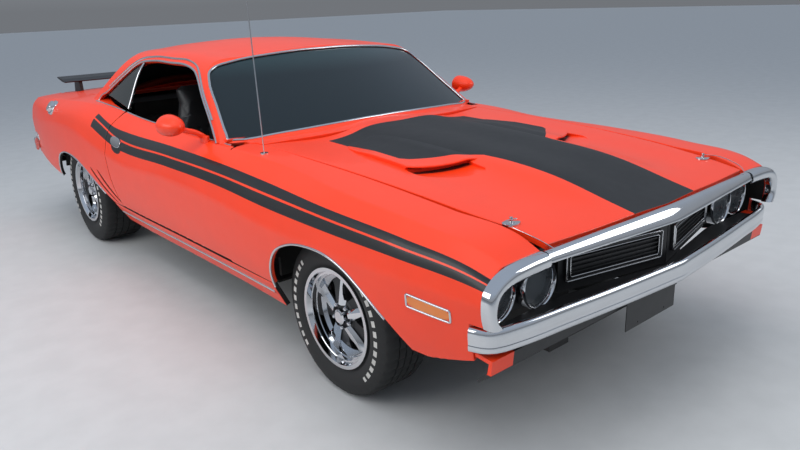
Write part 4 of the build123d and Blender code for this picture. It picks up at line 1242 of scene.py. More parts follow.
    def strip(self, name: str, line: np.ndarray, wide: float, high: float, body: str = "chassis") -> None:
        """A crowned bright strip along a (station, v) line of the skin, on both sides."""
        pair(bead(self.skin, line, wide, high), name, (STAINLESS,), body, Slot.BRIGHT)

    def plate(self, name: str, corners: Points, height: float, finish: Look, body: str, slot: Slot) -> None:
        """A small rounded plate on the skin, as (station, v) corners, so far above it."""
        panel = Panel(self.skin, rounded(corners, 3), step=0.012, thick=0.012, roll=0.0025, lift=level(height))
        pair(panel.data(), name, (finish,), body, slot)

    def build_trim(self) -> None:
        """Bright strips, door handles with a black plate below each as painted shadow, marker lamps and the louvres'
        dark bottoms.
        """
        self.strip("arch_lip_front", self.on_side(through(self.front_arch[1:-1], 5)), 0.010, 0.005)
        self.strip("arch_lip_rear", self.on_side(through(self.rear_arch[:-1], 5)), 0.010, 0.005)
        stations = np.linspace(0.375, 2.13, 30)
        self.strip("sill_strip", self.on_side([(s, 0.338) for s in stations]), 0.016, 0.005)
        self.strip("belt_strip", np.array([(s, 0.108) for s in np.linspace(0.80, 2.07, 24)]), 0.012, 0.004,
                   "door_{}_body")
        falling = np.array([(s, 0.108 - 0.05 * (s - 2.10)) for s in np.linspace(2.10, 2.60, 12)])
        self.strip("quarter_strip", falling, 0.012, 0.004)
        trim = Panel(self.skin, rounded([(0.790, 0.085), (0.700, 0.25), (0.705, 0.60), (2.01, 0.60), (2.06, 0.25),
                                         (2.055, 0.085)], 2), step=0.03, thick=0.034, roll=0.008,
                     lift=lambda uv: -0.026 - 0.012 * np.cos(uv[:, 1] * 40) * (uv[:, 1] > 0.1))
        pair(trim.data(), "door_trim", (VINYL,), "door_{}_body", Slot.VINYL)
        for number, loop in enumerate(self.louvre_loops()):
            floor = Panel(self.skin, moved_out(loop, 0.004), step=0.02, thick=0.003, roll=0.001, lift=level(-0.012))
            pair(floor.data(), f"louvre_{number}", (SATIN_BLACK,), "chassis", Slot.PAINT)
        # The black plate reaches below the chrome handle as its painted shadow.
        self.plate("handle_pocket", [(1.860, 0.262), (2.004, 0.262), (2.004, 0.336), (1.860, 0.336)], 0.0008,
                   SATIN_BLACK, "door_{}_body", Slot.PLASTIC)
        self.plate("door_handle", [(1.864, 0.258), (2.000, 0.258), (2.000, 0.306), (1.864, 0.306)], 0.010, CHROME,
                   "door_{}_body", Slot.BRIGHT)
        marks = ((-0.727, -0.545, 0.424, 0.482, AMBER, Slot.AMBER), (3.690, 3.780, 0.470, 0.510, RED_LENS, Slot.RED))
        for number, (first, last, top, low, finish, slot) in enumerate(marks):
            corners = [(first, top + 0.010), (last, top), (last, low - 0.004), (first, low + 0.004)]
            self.plate(f"marker_lens_{number}", corners, 0.0015, finish, "chassis", slot)
            rim = rounded(dense(np.array(corners), 0.02), 2)
            mesh = bead(self.skin, rim, 0.008, 0.005, True)
            pair(mesh, f"marker_rim_{number}", (CHROME,), "chassis", Slot.BRIGHT, node="marker_lamps")

    def build_tail(self) -> None:
        """The painted ends that close the rear quarters beside the tail panel."""
        v = np.linspace(0.0, 0.66, 40)
        edge = self.skin.point(np.column_stack([np.full(40, 3.833), v]))
        sunk = np.column_stack([np.minimum(edge[:, 0], 0.797), np.full(40, at(3.806)),
                                np.clip(edge[:, 2], 0.50, 0.862)])
        loops = [edge - (0.001, 0, 0), edge * 0.35 + sunk * 0.65 + (0, 0.012, 0), sunk]
        pair(loft(loops, False, False), "quarter_end", (ORANGE,), "chassis", Slot.PAINT)

    def build_filler(self) -> None:
        """The chrome filler cap on the right rear quarter."""
        spot = np.array([(3.090, 0.232)])
        centre, out = self.skin.point(spot)[0], self.skin.normal(spot)[0]
        along = unit(self.skin.axes(spot)[0])[0]
        down = np.cross(out, along)
        turns = np.linspace(0, 2 * math.pi, 36, endpoint=False)
        steps = ((-0.010, 0.052), (0.004, 0.052), (0.007, 0.048), (0.008, 0.040), (0.022, 0.039), (0.028, 0.034),
                 (0.030, 0.020), (0.0305, 0.001))
        rings = [[centre + out * h + (along * math.cos(a) + down * math.sin(a)) * r for a in turns] for h, r in steps]
        single(loft(np.array(rings)), "filler_cap_cover", (CHROME,), "chassis", node="filler_cap",
               mirror=True)

    def build_mirrors(self) -> None:
        """The round-backed mirrors on the doors, each on a short stalk."""
        profile = [(0.024, 0.0), (0.026, 0.050), (0.034, 0.056), (0.036, 0.061)]
        profile += [(0.034 - 0.118 * math.sin(a), 0.062 * math.cos(a)) for a in np.linspace(0.0, math.pi / 2, 12)]
        centre = np.array((0.962, at(1.062), 0.985))
        shell = lathe([(a, max(r, 0.0002)) for a, r in profile], 32, centre, "Y")
        glass = lathe([(0.027, 0.0002), (0.0265, 0.049)], 32, centre, "Y")
        for part in (shell, glass):
            part.verts = [centre + (p - centre) * (1.0, 1.0, 0.82) for p in part.verts]
        arm = tube(through([(0.822, at(1.014), 0.915), (0.865, at(1.022), 0.944), (0.915, at(1.036), 0.962),
                            (0.950, at(1.050), 0.978)], 5), 0.013, sides=12)
        foot = slab(rounded([(0.812, at(0.980)), (0.842, at(0.976)), (0.842, at(1.054)),
                             (0.812, at(1.050))], 2), 0.890, 0.926, "Z")
        pair(joined([shell, arm, foot]), "mirror", (ORANGE,), "door_{}_body", Slot.PAINT, 40, 0.002)
        pair(glass, "mirror_glass", (CHROME,), "door_{}_body", Slot.BRIGHT)

    def build(self) -> None:
        """Builds every panel of both sides and what they carry."""
        for side in Side:
            for build in (self.build_door, self.build_fender, self.build_quarter, self.build_sill):
                build(side)
        self.build_trim()
        self.build_tail()
        self.build_filler()
        self.build_mirrors()


@dataclass
class Drum(Surface):
    """The bent surface of the windscreen or rear window, as (distance up the slope, distance across).

    Attributes:
        foot: station and z at the middle of its lower edge.
        head: station and z at the middle of its upper edge.
        bend: radius of the bend.
        inset: how far the surface is moved in.
    """

    foot: tuple[float, float]
    head: tuple[float, float]
    bend: float
    inset: float = 0.0

    def __post_init__(self) -> None:
        """Works out the slope, the inward direction and the middle of the bend."""
        run = np.array([0.0, self.head[0] - self.foot[0], self.head[1] - self.foot[1]])
        self.along = run / np.linalg.norm(run)
        sign = 1.0 if run[1] > 0 else -1.0
        self.inward = np.array([0.0, self.along[2], -self.along[1]]) * sign
        self.hub = np.array([0.0, at(self.foot[0]), self.foot[1]]) + self.inward * self.bend
        self.facing = -sign

    def point(self, uv: np.ndarray) -> np.ndarray:
        """The 3-D points of n (up the slope, across) pairs."""
        turn = uv[:, 1] / self.bend
        radius = self.bend - self.inset
        middle = self.hub + uv[:, :1] * self.along
        sideways = np.stack([np.sin(turn) * radius, 0 * turn, 0 * turn], axis=1)
        return middle + sideways - np.cos(turn)[:, None] * radius * self.inward

    def depth(self, points: np.ndarray) -> np.ndarray:
        """How far points lie inside the drum."""
        local = points - self.hub
        return self.bend - np.hypot(local[:, 0], local @ self.inward)

    def flat(self, points: np.ndarray) -> np.ndarray:
        """(up the slope, across) of points near the drum."""
        local = points - self.hub
        turn = np.arctan2(local[:, 0], -(local @ self.inward))
        return np.stack([local @ self.along, turn * self.bend], axis=1)


SCREEN = Drum((0.700, 0.940), (1.170, 1.258), 2.8)
BACK_WINDOW = Drum((2.975, 0.975), (2.450, 1.254), 2.4)


@dataclass
class Greenhouse:
    """Roof, pillars, glass and the bright mouldings round the windows.

    Attributes:
        rows: cross-sections in millimetres: station, belt x and z, rail x and z, and the roof's middle z.
        side_window: the side opening in the side view, as (station, z).
        screen: left half of the windscreen's edge, as (up the slope, across).
        back: left half of the rear window's edge.
        knots: distance from the roof's middle of each cross-section point.
        front_range: stations between which the roof meets the windscreen.
        back_range: stations between which it meets the rear window.
        pillar_foot: v where the pillars end.
        frame_foot: v where the window frames end.
    """

    rows: Points = ((640, 836, 896, 676, 1168, 1226), (1250, 818, 900, 657, 1212, 1284),
                    (1900, 806, 915, 646, 1230, 1312), (2450, 790, 935, 632, 1212, 1281),
                    (3060, 752, 950, 606, 1140, 1212))
    side_window: Points = ((0.905, 0.900), (0.930, 0.918), (1.140, 1.062), (1.345, 1.190), (1.500, 1.218),
                           (1.700, 1.222), (1.950, 1.222), (2.110, 1.205), (2.300, 1.115), (2.500, 1.016),
                           (2.606, 0.968), (2.612, 0.950))
    screen: Points = ((0.010, 0.0), (0.020, 0.27), (0.058, 0.56), (0.114, 0.775), (0.125, 0.792), (0.156, 0.787),
                      (0.34, 0.745), (0.524, 0.698), (0.575, 0.672), (0.600, 0.630), (0.606, 0.546), (0.597, 0.30),
                      (0.588, 0.0))
    back: Points = ((0.050, 0.0), (0.055, 0.40), (0.075, 0.60), (0.12, 0.655), (0.30, 0.615), (0.46, 0.560),
                    (0.50, 0.50), (0.515, 0.35), (0.520, 0.0))
    knots: tuple[float, ...] = (0.0, 0.26, 0.50, 0.77)
    front_range: tuple[float, float] = (0.60, 1.6)
    back_range: tuple[float, float] = (2.2, 3.20)
    pillar_foot: float = 0.762
    frame_foot: float = 0.765

    def __post_init__(self) -> None:
        """Makes the smooth roof surface, with v counted from the middle of the roof outwards."""
        made = []
        for s, bx, bz, rx, rz, top in self.rows:
            made.append([s, 0, top, rx * 0.62, rz + (top - rz) * 0.68, rx, rz, bx, bz])
        self.skin = ProfileSurface(Table(made), self.knots, mirrored=True, facing=-1.0)

    def edge_station(self, v: float, drum: Drum, first: float, last: float) -> float:
        """Station where the roof surface meets a window's drum, for one v."""
        s = np.linspace(first, last, 400)
        depth = drum.depth(self.skin.point(np.stack([s, np.full(400, v)], axis=1)))
        rising = depth[-1] > depth[0]
        crossing = np.nonzero((depth > 0) if rising else (depth < 0))[0]
        return float(s[crossing[0]]) if len(crossing) else float(last)

    def window_top(self, grow: float = 0.0) -> np.ndarray:
        """The side opening's edge from its front foot over the top to its rear tip, as (station, v)."""
        line = through(self.side_window, 5)
        if grow:
            line = moved_out(line, -grow, closed=False)
        return np.array([(s, self.skin.v_at_height(s, z, 0.30, 0.80)) for s, z in line])

    def screen_edge(self, drum: Drum, first: float, last: float, v_foot: float) -> np.ndarray:
        """(station, v) where the roof surface meets a drum, from one foot over the top to the other."""
        v = np.linspace(-v_foot, v_foot, 61)
        return np.array([(self.edge_station(abs(x), drum, first, last), x) for x in v])

    def roof_panel(self) -> Panel:
        """The roof with its pillars, as one panel."""
        v_foot = self.pillar_foot
        front = self.screen_edge(SCREEN, *self.front_range, v_foot)
        back = self.screen_edge(BACK_WINDOW, *self.back_range, v_foot)
        right_side = self.window_top()
        low_front = [(right_side[0][0], v_foot)]
        low_back = [(right_side[-1][0] + 0.002, v_foot)]
        half = np.vstack([low_front, right_side, low_back])
        other = half[::-1] * OTHER_SIDE
        outline = np.vstack([front, half, back[::-1], other])
        return Panel(self.skin, outline, step=0.022, thick=0.020)

    def build_window(self, name: str, drum: Drum, edge: np.ndarray, half: Points, glass: Look) -> None:
        """The painted frame, the glass and the bright moulding of a bent window.

        Args:
            name: which window.
            drum: its surface.
            edge: (station, v) where the roof surface meets it, from foot to foot.
            half: left half of the glass's edge, from the middle below to the middle above.
            glass: finish of the glass.
        """
        left = through(half, 4)
        pane_loop = np.vstack([left[:-1], left[::-1][:-1] * OTHER_SIDE])
        outer = drum.flat(self.skin.point(edge))
        if outer[0, 1] < 0:
            outer = outer[::-1]
        base = [(max(u - 0.045, -0.045), v) for u, v in half if u < outer[0, 0] and v < 0.70]
        outer = np.vstack([base, outer, [(u, -v) for u, v in reversed(base[1:])]])
        painted = Panel(drum, outer, [pane_loop], step=0.025, thick=0.018).data()
        inner = Drum(drum.foot, drum.head, drum.bend, 0.006)
        pane = Panel(inner, pane_loop, step=0.05, thick=0.005, roll=0.001).data()
        moulding = bead(drum, dense(pane_loop, 0.03), 0.013, 0.005, True)
        single(painted, f"{name}_frame", (ORANGE,), "chassis")
        single(pane, f"{name}_glass", (glass,), "chassis", node="fixed_glass")
        single(moulding, f"{name}_moulding", (STAINLESS,), "chassis")

    def edge_bead(self, name: str, line: np.ndarray, wide: float, high: float) -> None:
        """A bright strip along a (station, v) line of the roof surface, on both sides."""
        pair(bead(self.skin, line, wide, high), name, (STAINLESS,), "chassis", Slot.BRIGHT)

    def quarter_window(self) -> None:
        """The fixed quarter glass with its bright upright, on both sides."""
        edge = self.window_top()
        top = edge[(edge[:, 0] > 2.052)]
        upright = [(2.062, top[0][1] + 0.004), (2.075, 0.745)]
        loop = np.vstack([top + (0, 0.004), [(2.600, 0.700), (2.075, 0.745)], [upright[0]]])
        pane = Panel(self.skin, loop, step=0.04, thick=0.005, roll=0.001, lift=level(-0.010)).data()
        bar = np.linspace(upright[0], (2.086, 0.742), 8)
        strip = bead(self.skin, bar, 0.016, 0.006, sunk=0.006)
        pair(pane, "quarter_glass", (WINDOW_GLASS,), "chassis", Slot.GLASS)
        pair(strip, "quarter_upright", (STAINLESS,), "chassis", Slot.BRIGHT)

    def build(self) -> None:
        """Builds the whole greenhouse."""
        single(self.roof_panel().data(), "roof_skin", (ORANGE,), "chassis", node="roof")
        front = self.screen_edge(SCREEN, *self.front_range, self.frame_foot)
        back = self.screen_edge(BACK_WINDOW, *self.back_range, self.frame_foot)
        self.headliner()
        self.build_window("windscreen", SCREEN, front, self.screen, SCREEN_GLASS)
        self.build_window("rear_window", BACK_WINDOW, back, self.back, WINDOW_GLASS)
        self.edge_bead("window_moulding", self.window_top(), 0.013, 0.005)
        top = self.window_top(0.018)
        self.edge_bead("drip_rail", top[(top[:, 0] > 1.0) & (top[:, 0] < 2.5)], 0.012, 0.009)
        self.quarter_window()

    def headliner(self) -> bpy.types.Object:
        """The black lining under the roof and down the pillars."""
        panel = self.roof_panel()
        panel.outline = moved_out(panel.outline, 0.006)
        panel.step, panel.thick, panel.lift = 0.05, 0.004, level(-0.022)
        return single(panel.data(), "headliner", (HEADLINER,), "chassis")


@dataclass
class Lid:
    """A panel across the car, seen from above: the hood or the boot lid.

    Attributes:
        name: the piece's name.
        node: the frame's node that it stands for.
        body: the body it rides on.
        rows: cross-sections in millimetres: station, then x and z from the middle outwards.
        knots: distance from the middle of each of those points.
        outline: its plan, as (station, x) from the middle of the front round the left side to the
            middle of the rear.
        band: plan of its black band, left half in the same order, or empty.
        thick: depth of its edge.
    """

    name: str
    node: str
    body: str
    rows: Points
    knots: tuple[float, ...]
    outline: Points
    band: Points = ()
    thick: float = 0.022

    def __post_init__(self) -> None:
        """Makes the smooth surface."""
        self.skin = ProfileSurface(Table(self.rows), self.knots, mirrored=True, facing=-1.0)

    def loop(self, half: Points) -> np.ndarray:
        """A whole plan loop from its left half, as (station, v)."""
        left = np.array(half, float)
        right = left[::-1] * OTHER_SIDE
        if abs(left[0][1]) < 1e-6:
            right = right[1:-1]
        return np.vstack([left, right])

    def build(self) -> bpy.types.Object:
        """Builds the panel.

        Returns:
            The new piece.
        """
        zones = [(self.loop(self.band), 1)] if len(self.band) else []
        panel = Panel(self.skin, self.loop(self.outline), [], zones, step=0.022, thick=self.thick)
        return single(panel.data(), self.name, (ORANGE, HOOD_BLACK), self.body, node=self.node)


@dataclass
class Hood(Lid):
    """The hood: a bulged panel whose raised middle ends in two scoops that face forward.

    Attributes:
        raised: plan of the left raised part, as (station, x).
        mouth: the left scoop's ramp and slot, as (station, x): ramp's start, lip, then the slot's back.
        rise: stations and heights of the raised part.
    """

    raised: Points = ((-0.210, 0.200), (0.446, 0.200), (0.446, 0.490), (-0.020, 0.505), (-0.090, 0.520),
                      (-0.210, 0.250))
    mouth: Points = ((-0.334, 0.300), (-0.194, 0.285), (-0.160, 0.272), (-0.058, 0.505), (-0.090, 0.520),
                     (-0.195, 0.526))
    rise: Points = ((-0.220, 0.200, 0.446), (0.018, 0.016, -0.001))

    def lift(self, uv: np.ndarray) -> np.ndarray:
        """Height of the raised part above the bulged panel."""
        share = np.clip((np.abs(uv[:, 1]) - 0.226) / 0.078, 0.0, 1.0)
        share = share * share * (3 - 2 * share)
        return np.interp(uv[:, 0], *self.rise) * share - 0.003 * (1 - share)

    def ramp(self, uv: np.ndarray) -> np.ndarray:
        """Depth of a scoop's ramp below the panel."""
        along = uv[:, 0] - np.interp(np.abs(uv[:, 1]), (0.300, 0.526), (-0.334, -0.195))
        return -0.0015 - 0.0135 * np.clip(along / 0.125, 0.0, 1.0)

    def lip(self, uv: np.ndarray) -> np.ndarray:
        """Depth of the raised part's edge: thin over the slot, full elsewhere."""
        along = uv[:, 0] - np.interp(np.abs(uv[:, 1]), (0.285, 0.520), (-0.194, -0.090))
        return np.where((along < 0.030) & (uv[:, 1] > 0.26), 0.008, 0.021)

    def build(self) -> bpy.types.Object:
        """Builds the panel, the raised parts and the scoops.

        Returns:
            The panel.
        """
        zones = [(self.loop(self.band), 1)]
        scoop = rounded(self.mouth, 2)
        panel = Panel(self.skin, self.loop(self.outline), [scoop, scoop[::-1] * OTHER_SIDE], zones, step=0.022,
                      thick=self.thick, inner=2)
        made = single(panel.data(), self.name, (ORANGE, HOOD_BLACK, UNDERBODY), self.body,
                      node=self.node)
        edge = dense(rounded(self.raised, 2), 0.02)
        raised = Panel(self.skin, edge, [], zones, step=0.016, thick=self.lip, roll=0.006, lift=self.lift)
        pair(raised.data(), "hood_raised", (ORANGE, HOOD_BLACK), self.body, Slot.PAINT)
        floor = Panel(self.skin, moved_out(scoop, 0.003), step=0.016, thick=0.004, roll=0.001, lift=self.ramp)
        pair(floor.data(), "scoop_floor", (SCOOP_PAINT_AND_SLOT_SHADE,), self.body, Slot.PAINT)
        return made


# Orange ramp that turns satin black behind the lip line: the black is painted shade of the slot under the raised lip.
SCOOP_PAINT_AND_SLOT_SHADE = PlacedFinish("scoop_paint", ORANGE, SATIN_BLACK, lambda g: (
    g.axes()[1] - 0.4425 * g.axes()[0].magnitude() + (0.194 + 1.45 + 0.285 * 0.4425)).clamped(-0.004, 0.012))


def hood() -> Hood:
    """The hood's sizes."""
    table = ((-930, 770, 776, 778, 779), (-800, 799, 804, 808, 810), (-560, 831, 845, 862, 866),
             (-100, 872, 886, 905, 911), (350, 893, 909, 926, 933), (690, 904, 918, 934, 941))
    edges = {-930: 665, -800: 665, -560: 680, -100: 691, 350: 694, 690: 698}
    rows = [(s, 0, mid, 236, shoulder, 304, foot, edges[s], edge) for s, edge, foot, shoulder, mid in table]
    rear = [(0.600 + 0.090 * (x / 0.698) ** 2, x) for x in np.linspace(0.698, 0.0, 12)]
    outline = [(-0.888, 0.0), (-0.852, 0.666), (-0.800, 0.6665), (-0.5, 0.685), (-0.1, 0.6925), (0.35, 0.6955)] + rear
    band = [(-0.93, 0.0), (-0.93, 0.200), (-0.875, 0.200), (-0.30, 0.208), (-0.205, 0.216), (-0.150, 0.245),
            (0.000, 0.440), (0.035, 0.462), (0.545, 0.445), (0.550, 0.440), (0.550, 0.0)]
    return Hood("hood_skin", "hood", "hood_body", rows, (0.0, 0.236, 0.305, 0.695), outline, band)


def decklid() -> Lid:
    """The boot lid's sizes."""
    rows = [(3050, 0, 966, 336, 963, 671, 955), (3500, 0, 945, 333, 942, 665, 930),
            (3800, 0, 922, 328, 919, 655, 908)]
    outline = [(3.050, 0.0), (3.050, 0.672), (3.5, 0.6655), (3.800, 0.656), (3.800, 0.0)]
    return Lid("decklid_skin", "decklid", "decklid_body", rows, (0.0, 0.336, 0.668), outline)


def cowl() -> Lid:
    """The painted panel between the hood and the windscreen."""
    rows = [(560, 0, 934, 300, 916, 760, 900), (700, 0, 941, 300, 924, 760, 905), (910, 0, 945, 300, 927, 760, 907)]
    front = [(0.606 + 0.090 * (x / 0.698) ** 2, x) for x in np.linspace(0.0, 0.697, 10)]
    back = [(0.735 + 0.118 * (x / 0.72) ** 2, x) for x in np.linspace(0.722, 0.0, 10)]
    outline = front + [(0.748, 0.703), (0.756, 0.722)] + back
    return Lid("cowl_panel", "", "chassis", rows, (0.0, 0.3, 0.76), outline)


def deck_filler() -> Lid:
    """The painted panel between the rear window and the boot lid."""
    rows = [(2850, 0, 962, 300, 961, 690, 957), (3060, 0, 962, 300, 961, 690, 957)]
    outline = [(2.905, 0.0), (2.88, 0.40), (2.87, 0.672), (3.041, 0.672), (3.041, 0.0)]
    return Lid("deck_filler", "", "chassis", rows, (0.0, 0.3, 0.69), outline)


@dataclass
class Nose:
    """Chrome surround, bumper, grille frames, lamp rings and hood pins.

    Attributes:
        lamps: x, y and z of the left lamps.
        wide: half width of the hood's bright edge.
        middle: station of the hood's front edge in the middle.
        swept: how far that edge runs back at its ends.
        cap: cross-section of the bright ends, as (share from the outer to the inner edge, station).
    """

    lamps: Points = ((0.605, -2.250, 0.632), (0.785, -2.232, 0.632))
    wide: float = 0.666
    middle: float = -0.888
    swept: float = 0.036
    cap: Points = ((0, -0.853), (0, -0.874), (0.10, -0.888), (0.30, -0.895), (0.62, -0.896), (0.86, -0.891),
                   (1, -0.880), (1, -0.856))

    def header(self) -> bpy.types.Object:
        """The bright front edge of the hood."""
        loops = []
        for x in np.linspace(-self.wide, self.wide, 41):
            share = (math.hypot(x, 0.02) - 0.02) / self.wide
            back, z = self.middle + self.swept * share, 0.785 - 0.010 * share
            reach, drop = 0.055 - 0.015 * share, 0.050 - 0.019 * share
            corners = [(back, z - 0.020), (back, z - 0.001), (back - 0.014, z), (back - 0.030, z - 0.006),
                       (back - reach, z - drop), (back - reach + 0.008, z - drop - 0.003)]
            loops.append([(x, at(s), height) for s, height in rounded(corners, 2)])
        return single(loft(np.array(loops)), "hood_header", (CHROME,), "hood_body", 60,
                      node="hood_brightwork")

    def end_caps(self) -> None:
        """The bright ends of the nose, bent down round the outer lamps."""
        outer = through([(0.672, 0.774), (0.780, 0.772), (0.848, 0.764), (0.895, 0.744), (0.925, 0.715),
                         (0.934, 0.660), (0.930, 0.628), (0.922, 0.602)], 4)
        inner = through([(0.672, 0.723), (0.768, 0.722), (0.822, 0.719), (0.858, 0.714), (0.884, 0.700),
                         (0.901, 0.664), (0.898, 0.634), (0.872, 0.603)], 4)
        loops = []
        for (ox, oz), (ix, iz) in zip(outer, inner):
            def spot(share: float, station: float) -> tuple[float, float, float]:
                """A point between the outer and inner edge."""
                return ox + (ix - ox) * share, at(station), oz + (iz - oz) * share
            loops.append([spot(share, station) for share, station in self.cap])
        pair(loft(np.array(loops)), "nose_end", (CHROME,), "chassis", Slot.BRIGHT, 50, node="nose_mouldings")

    def bumper(self, name: str, plan: Points, low: float, high: float, node: str) -> None:
        """A wrapped chrome bumper, in two halves that meet in the middle.

        Args:
            name: the piece's name.
            plan: outer edge of the left half seen from above, as (x, y), from the middle outwards.
            low: height of its lower edge.
            high: height of its upper edge.
            node: the frame's node that it stands for.
        """
        line = np.array(plan, float)
        line = np.vstack([line[::-1] * (-1, 1), line[1:]])
        path = np.column_stack([line, np.full(len(line), (low + high) / 2)])
        half = (high - low) / 2
        profile = rounded([(-0.026, -half), (-0.004, -half), (-0.001, -half + 0.020), (-0.004, -half + 0.026),
                           (0.0, 0.2 * half), (-0.001, half - 0.012), (-0.010, half), (-0.026, half)], 2)
        up = np.tile((0.0, 0.0, 1.0), (len(path), 1))
        outward = 1.0 if path[:, 1].min() < -1.5 else -1.0
        mesh = sweep(path, up, [(a * outward, b) for a, b in profile])
        single(mesh, name, (CHROME,), "chassis", 50, node=node)

    def grille_frames(self) -> None:
        """Two thin bright frames, one inside the other, on each half of the grille."""
        turn = math.radians(12.5)
        strips = []
        for x0, x1, z0, z1 in ((0.040, 0.478, 0.600, 0.700), (0.056, 0.462, 0.614, 0.686)):
            flat = box_loop(x0, x1, z0, z1, 0.02)
            depth = np.full(len(flat), 0.0125)
            path = np.column_stack([flat[:, 0] * math.cos(turn) + depth * math.sin(turn),
                                    at(-0.896) + flat[:, 0] * math.sin(turn) - depth * math.cos(turn), flat[:, 1]])
            up = np.tile((math.sin(turn), -math.cos(turn), 0.0), (len(path), 1))
            strips.append(sweep(path, up, half_round(0.0045, 0.0025, 4), closed=True))
        pair(joined(strips), "grille_frame", (STAINLESS,), "chassis", Slot.BRIGHT)

    def lamp_rings(self) -> None:
        """A chrome ring round each head lamp."""
        rings = [lathe([(0.010, 0.072), (-0.004, 0.074), (-0.007, 0.078), (-0.004, 0.083),
                        (0.004, 0.084)], 48, lamp, "Y") for lamp in self.lamps]
        pair(joined(rings), "lamp_ring", (CHROME,), "chassis", Slot.BRIGHT, 60)

    def pins(self) -> None:
        """The hood pins on their oval plates, each with a lanyard to the nose."""
        turns = np.linspace(0, 6.1, 24)
        oval = [(0.622 + 0.034 * math.cos(a), at(-0.695) + 0.026 * math.sin(a)) for a in turns]
        plate = slab(oval, 0.8125, 0.8195, "Z")
        post = tube(np.array([(0.622, at(-0.695), z) for z in (0.818, 0.826, 0.8375)]), 0.006, sides=12)
        clip = tube(through([(0.600, at(-0.700), 0.828), (0.622, at(-0.694), 0.829),
                             (0.650, at(-0.690), 0.827)], 4), 0.002)
        pair(joined([plate, post, clip]), "hood_pin", (CHROME,), "hood_body", Slot.BRIGHT, 40, 0.0015)
        line = through([(0.650, at(-0.690), 0.827), (0.668, at(-0.735), 0.824), (0.664, at(-0.800), 0.812),
                        (0.650, at(-0.850), 0.795), (0.634, at(-0.872), 0.779)], 6)
        cords = pair(tube(line, 0.0013, sides=6), "pin_lanyard", (STAINLESS,), "hood_body", Slot.BRIGHT)

    def build(self) -> None:
        """Builds the nose."""
        self.header()
        self.end_caps()
        front = through([(0.0, at(-0.9715)), (0.30, at(-0.948)), (0.60, at(-0.917)), (0.80, at(-0.8935)),
                         (0.868, at(-0.878)), (0.900, at(-0.862)), (0.918, at(-0.838)), (0.933, at(-0.800))], 5)
        self.bumper("bumper_front_bar", front, 0.511, 0.591, "bumper_front")
        rear = through([(0.0, at(3.866)), (0.50, at(3.8645)), (0.80, at(3.8625)), (0.880, at(3.860)),
                        (0.908, at(3.848)), (0.918, at(3.820)), (0.922, at(3.775))], 5)
        self.bumper("bumper_rear_bar", rear, 0.502, 0.594, "bumper_rear")
        self.grille_frames()
        self.lamp_rings()
        self.pins()


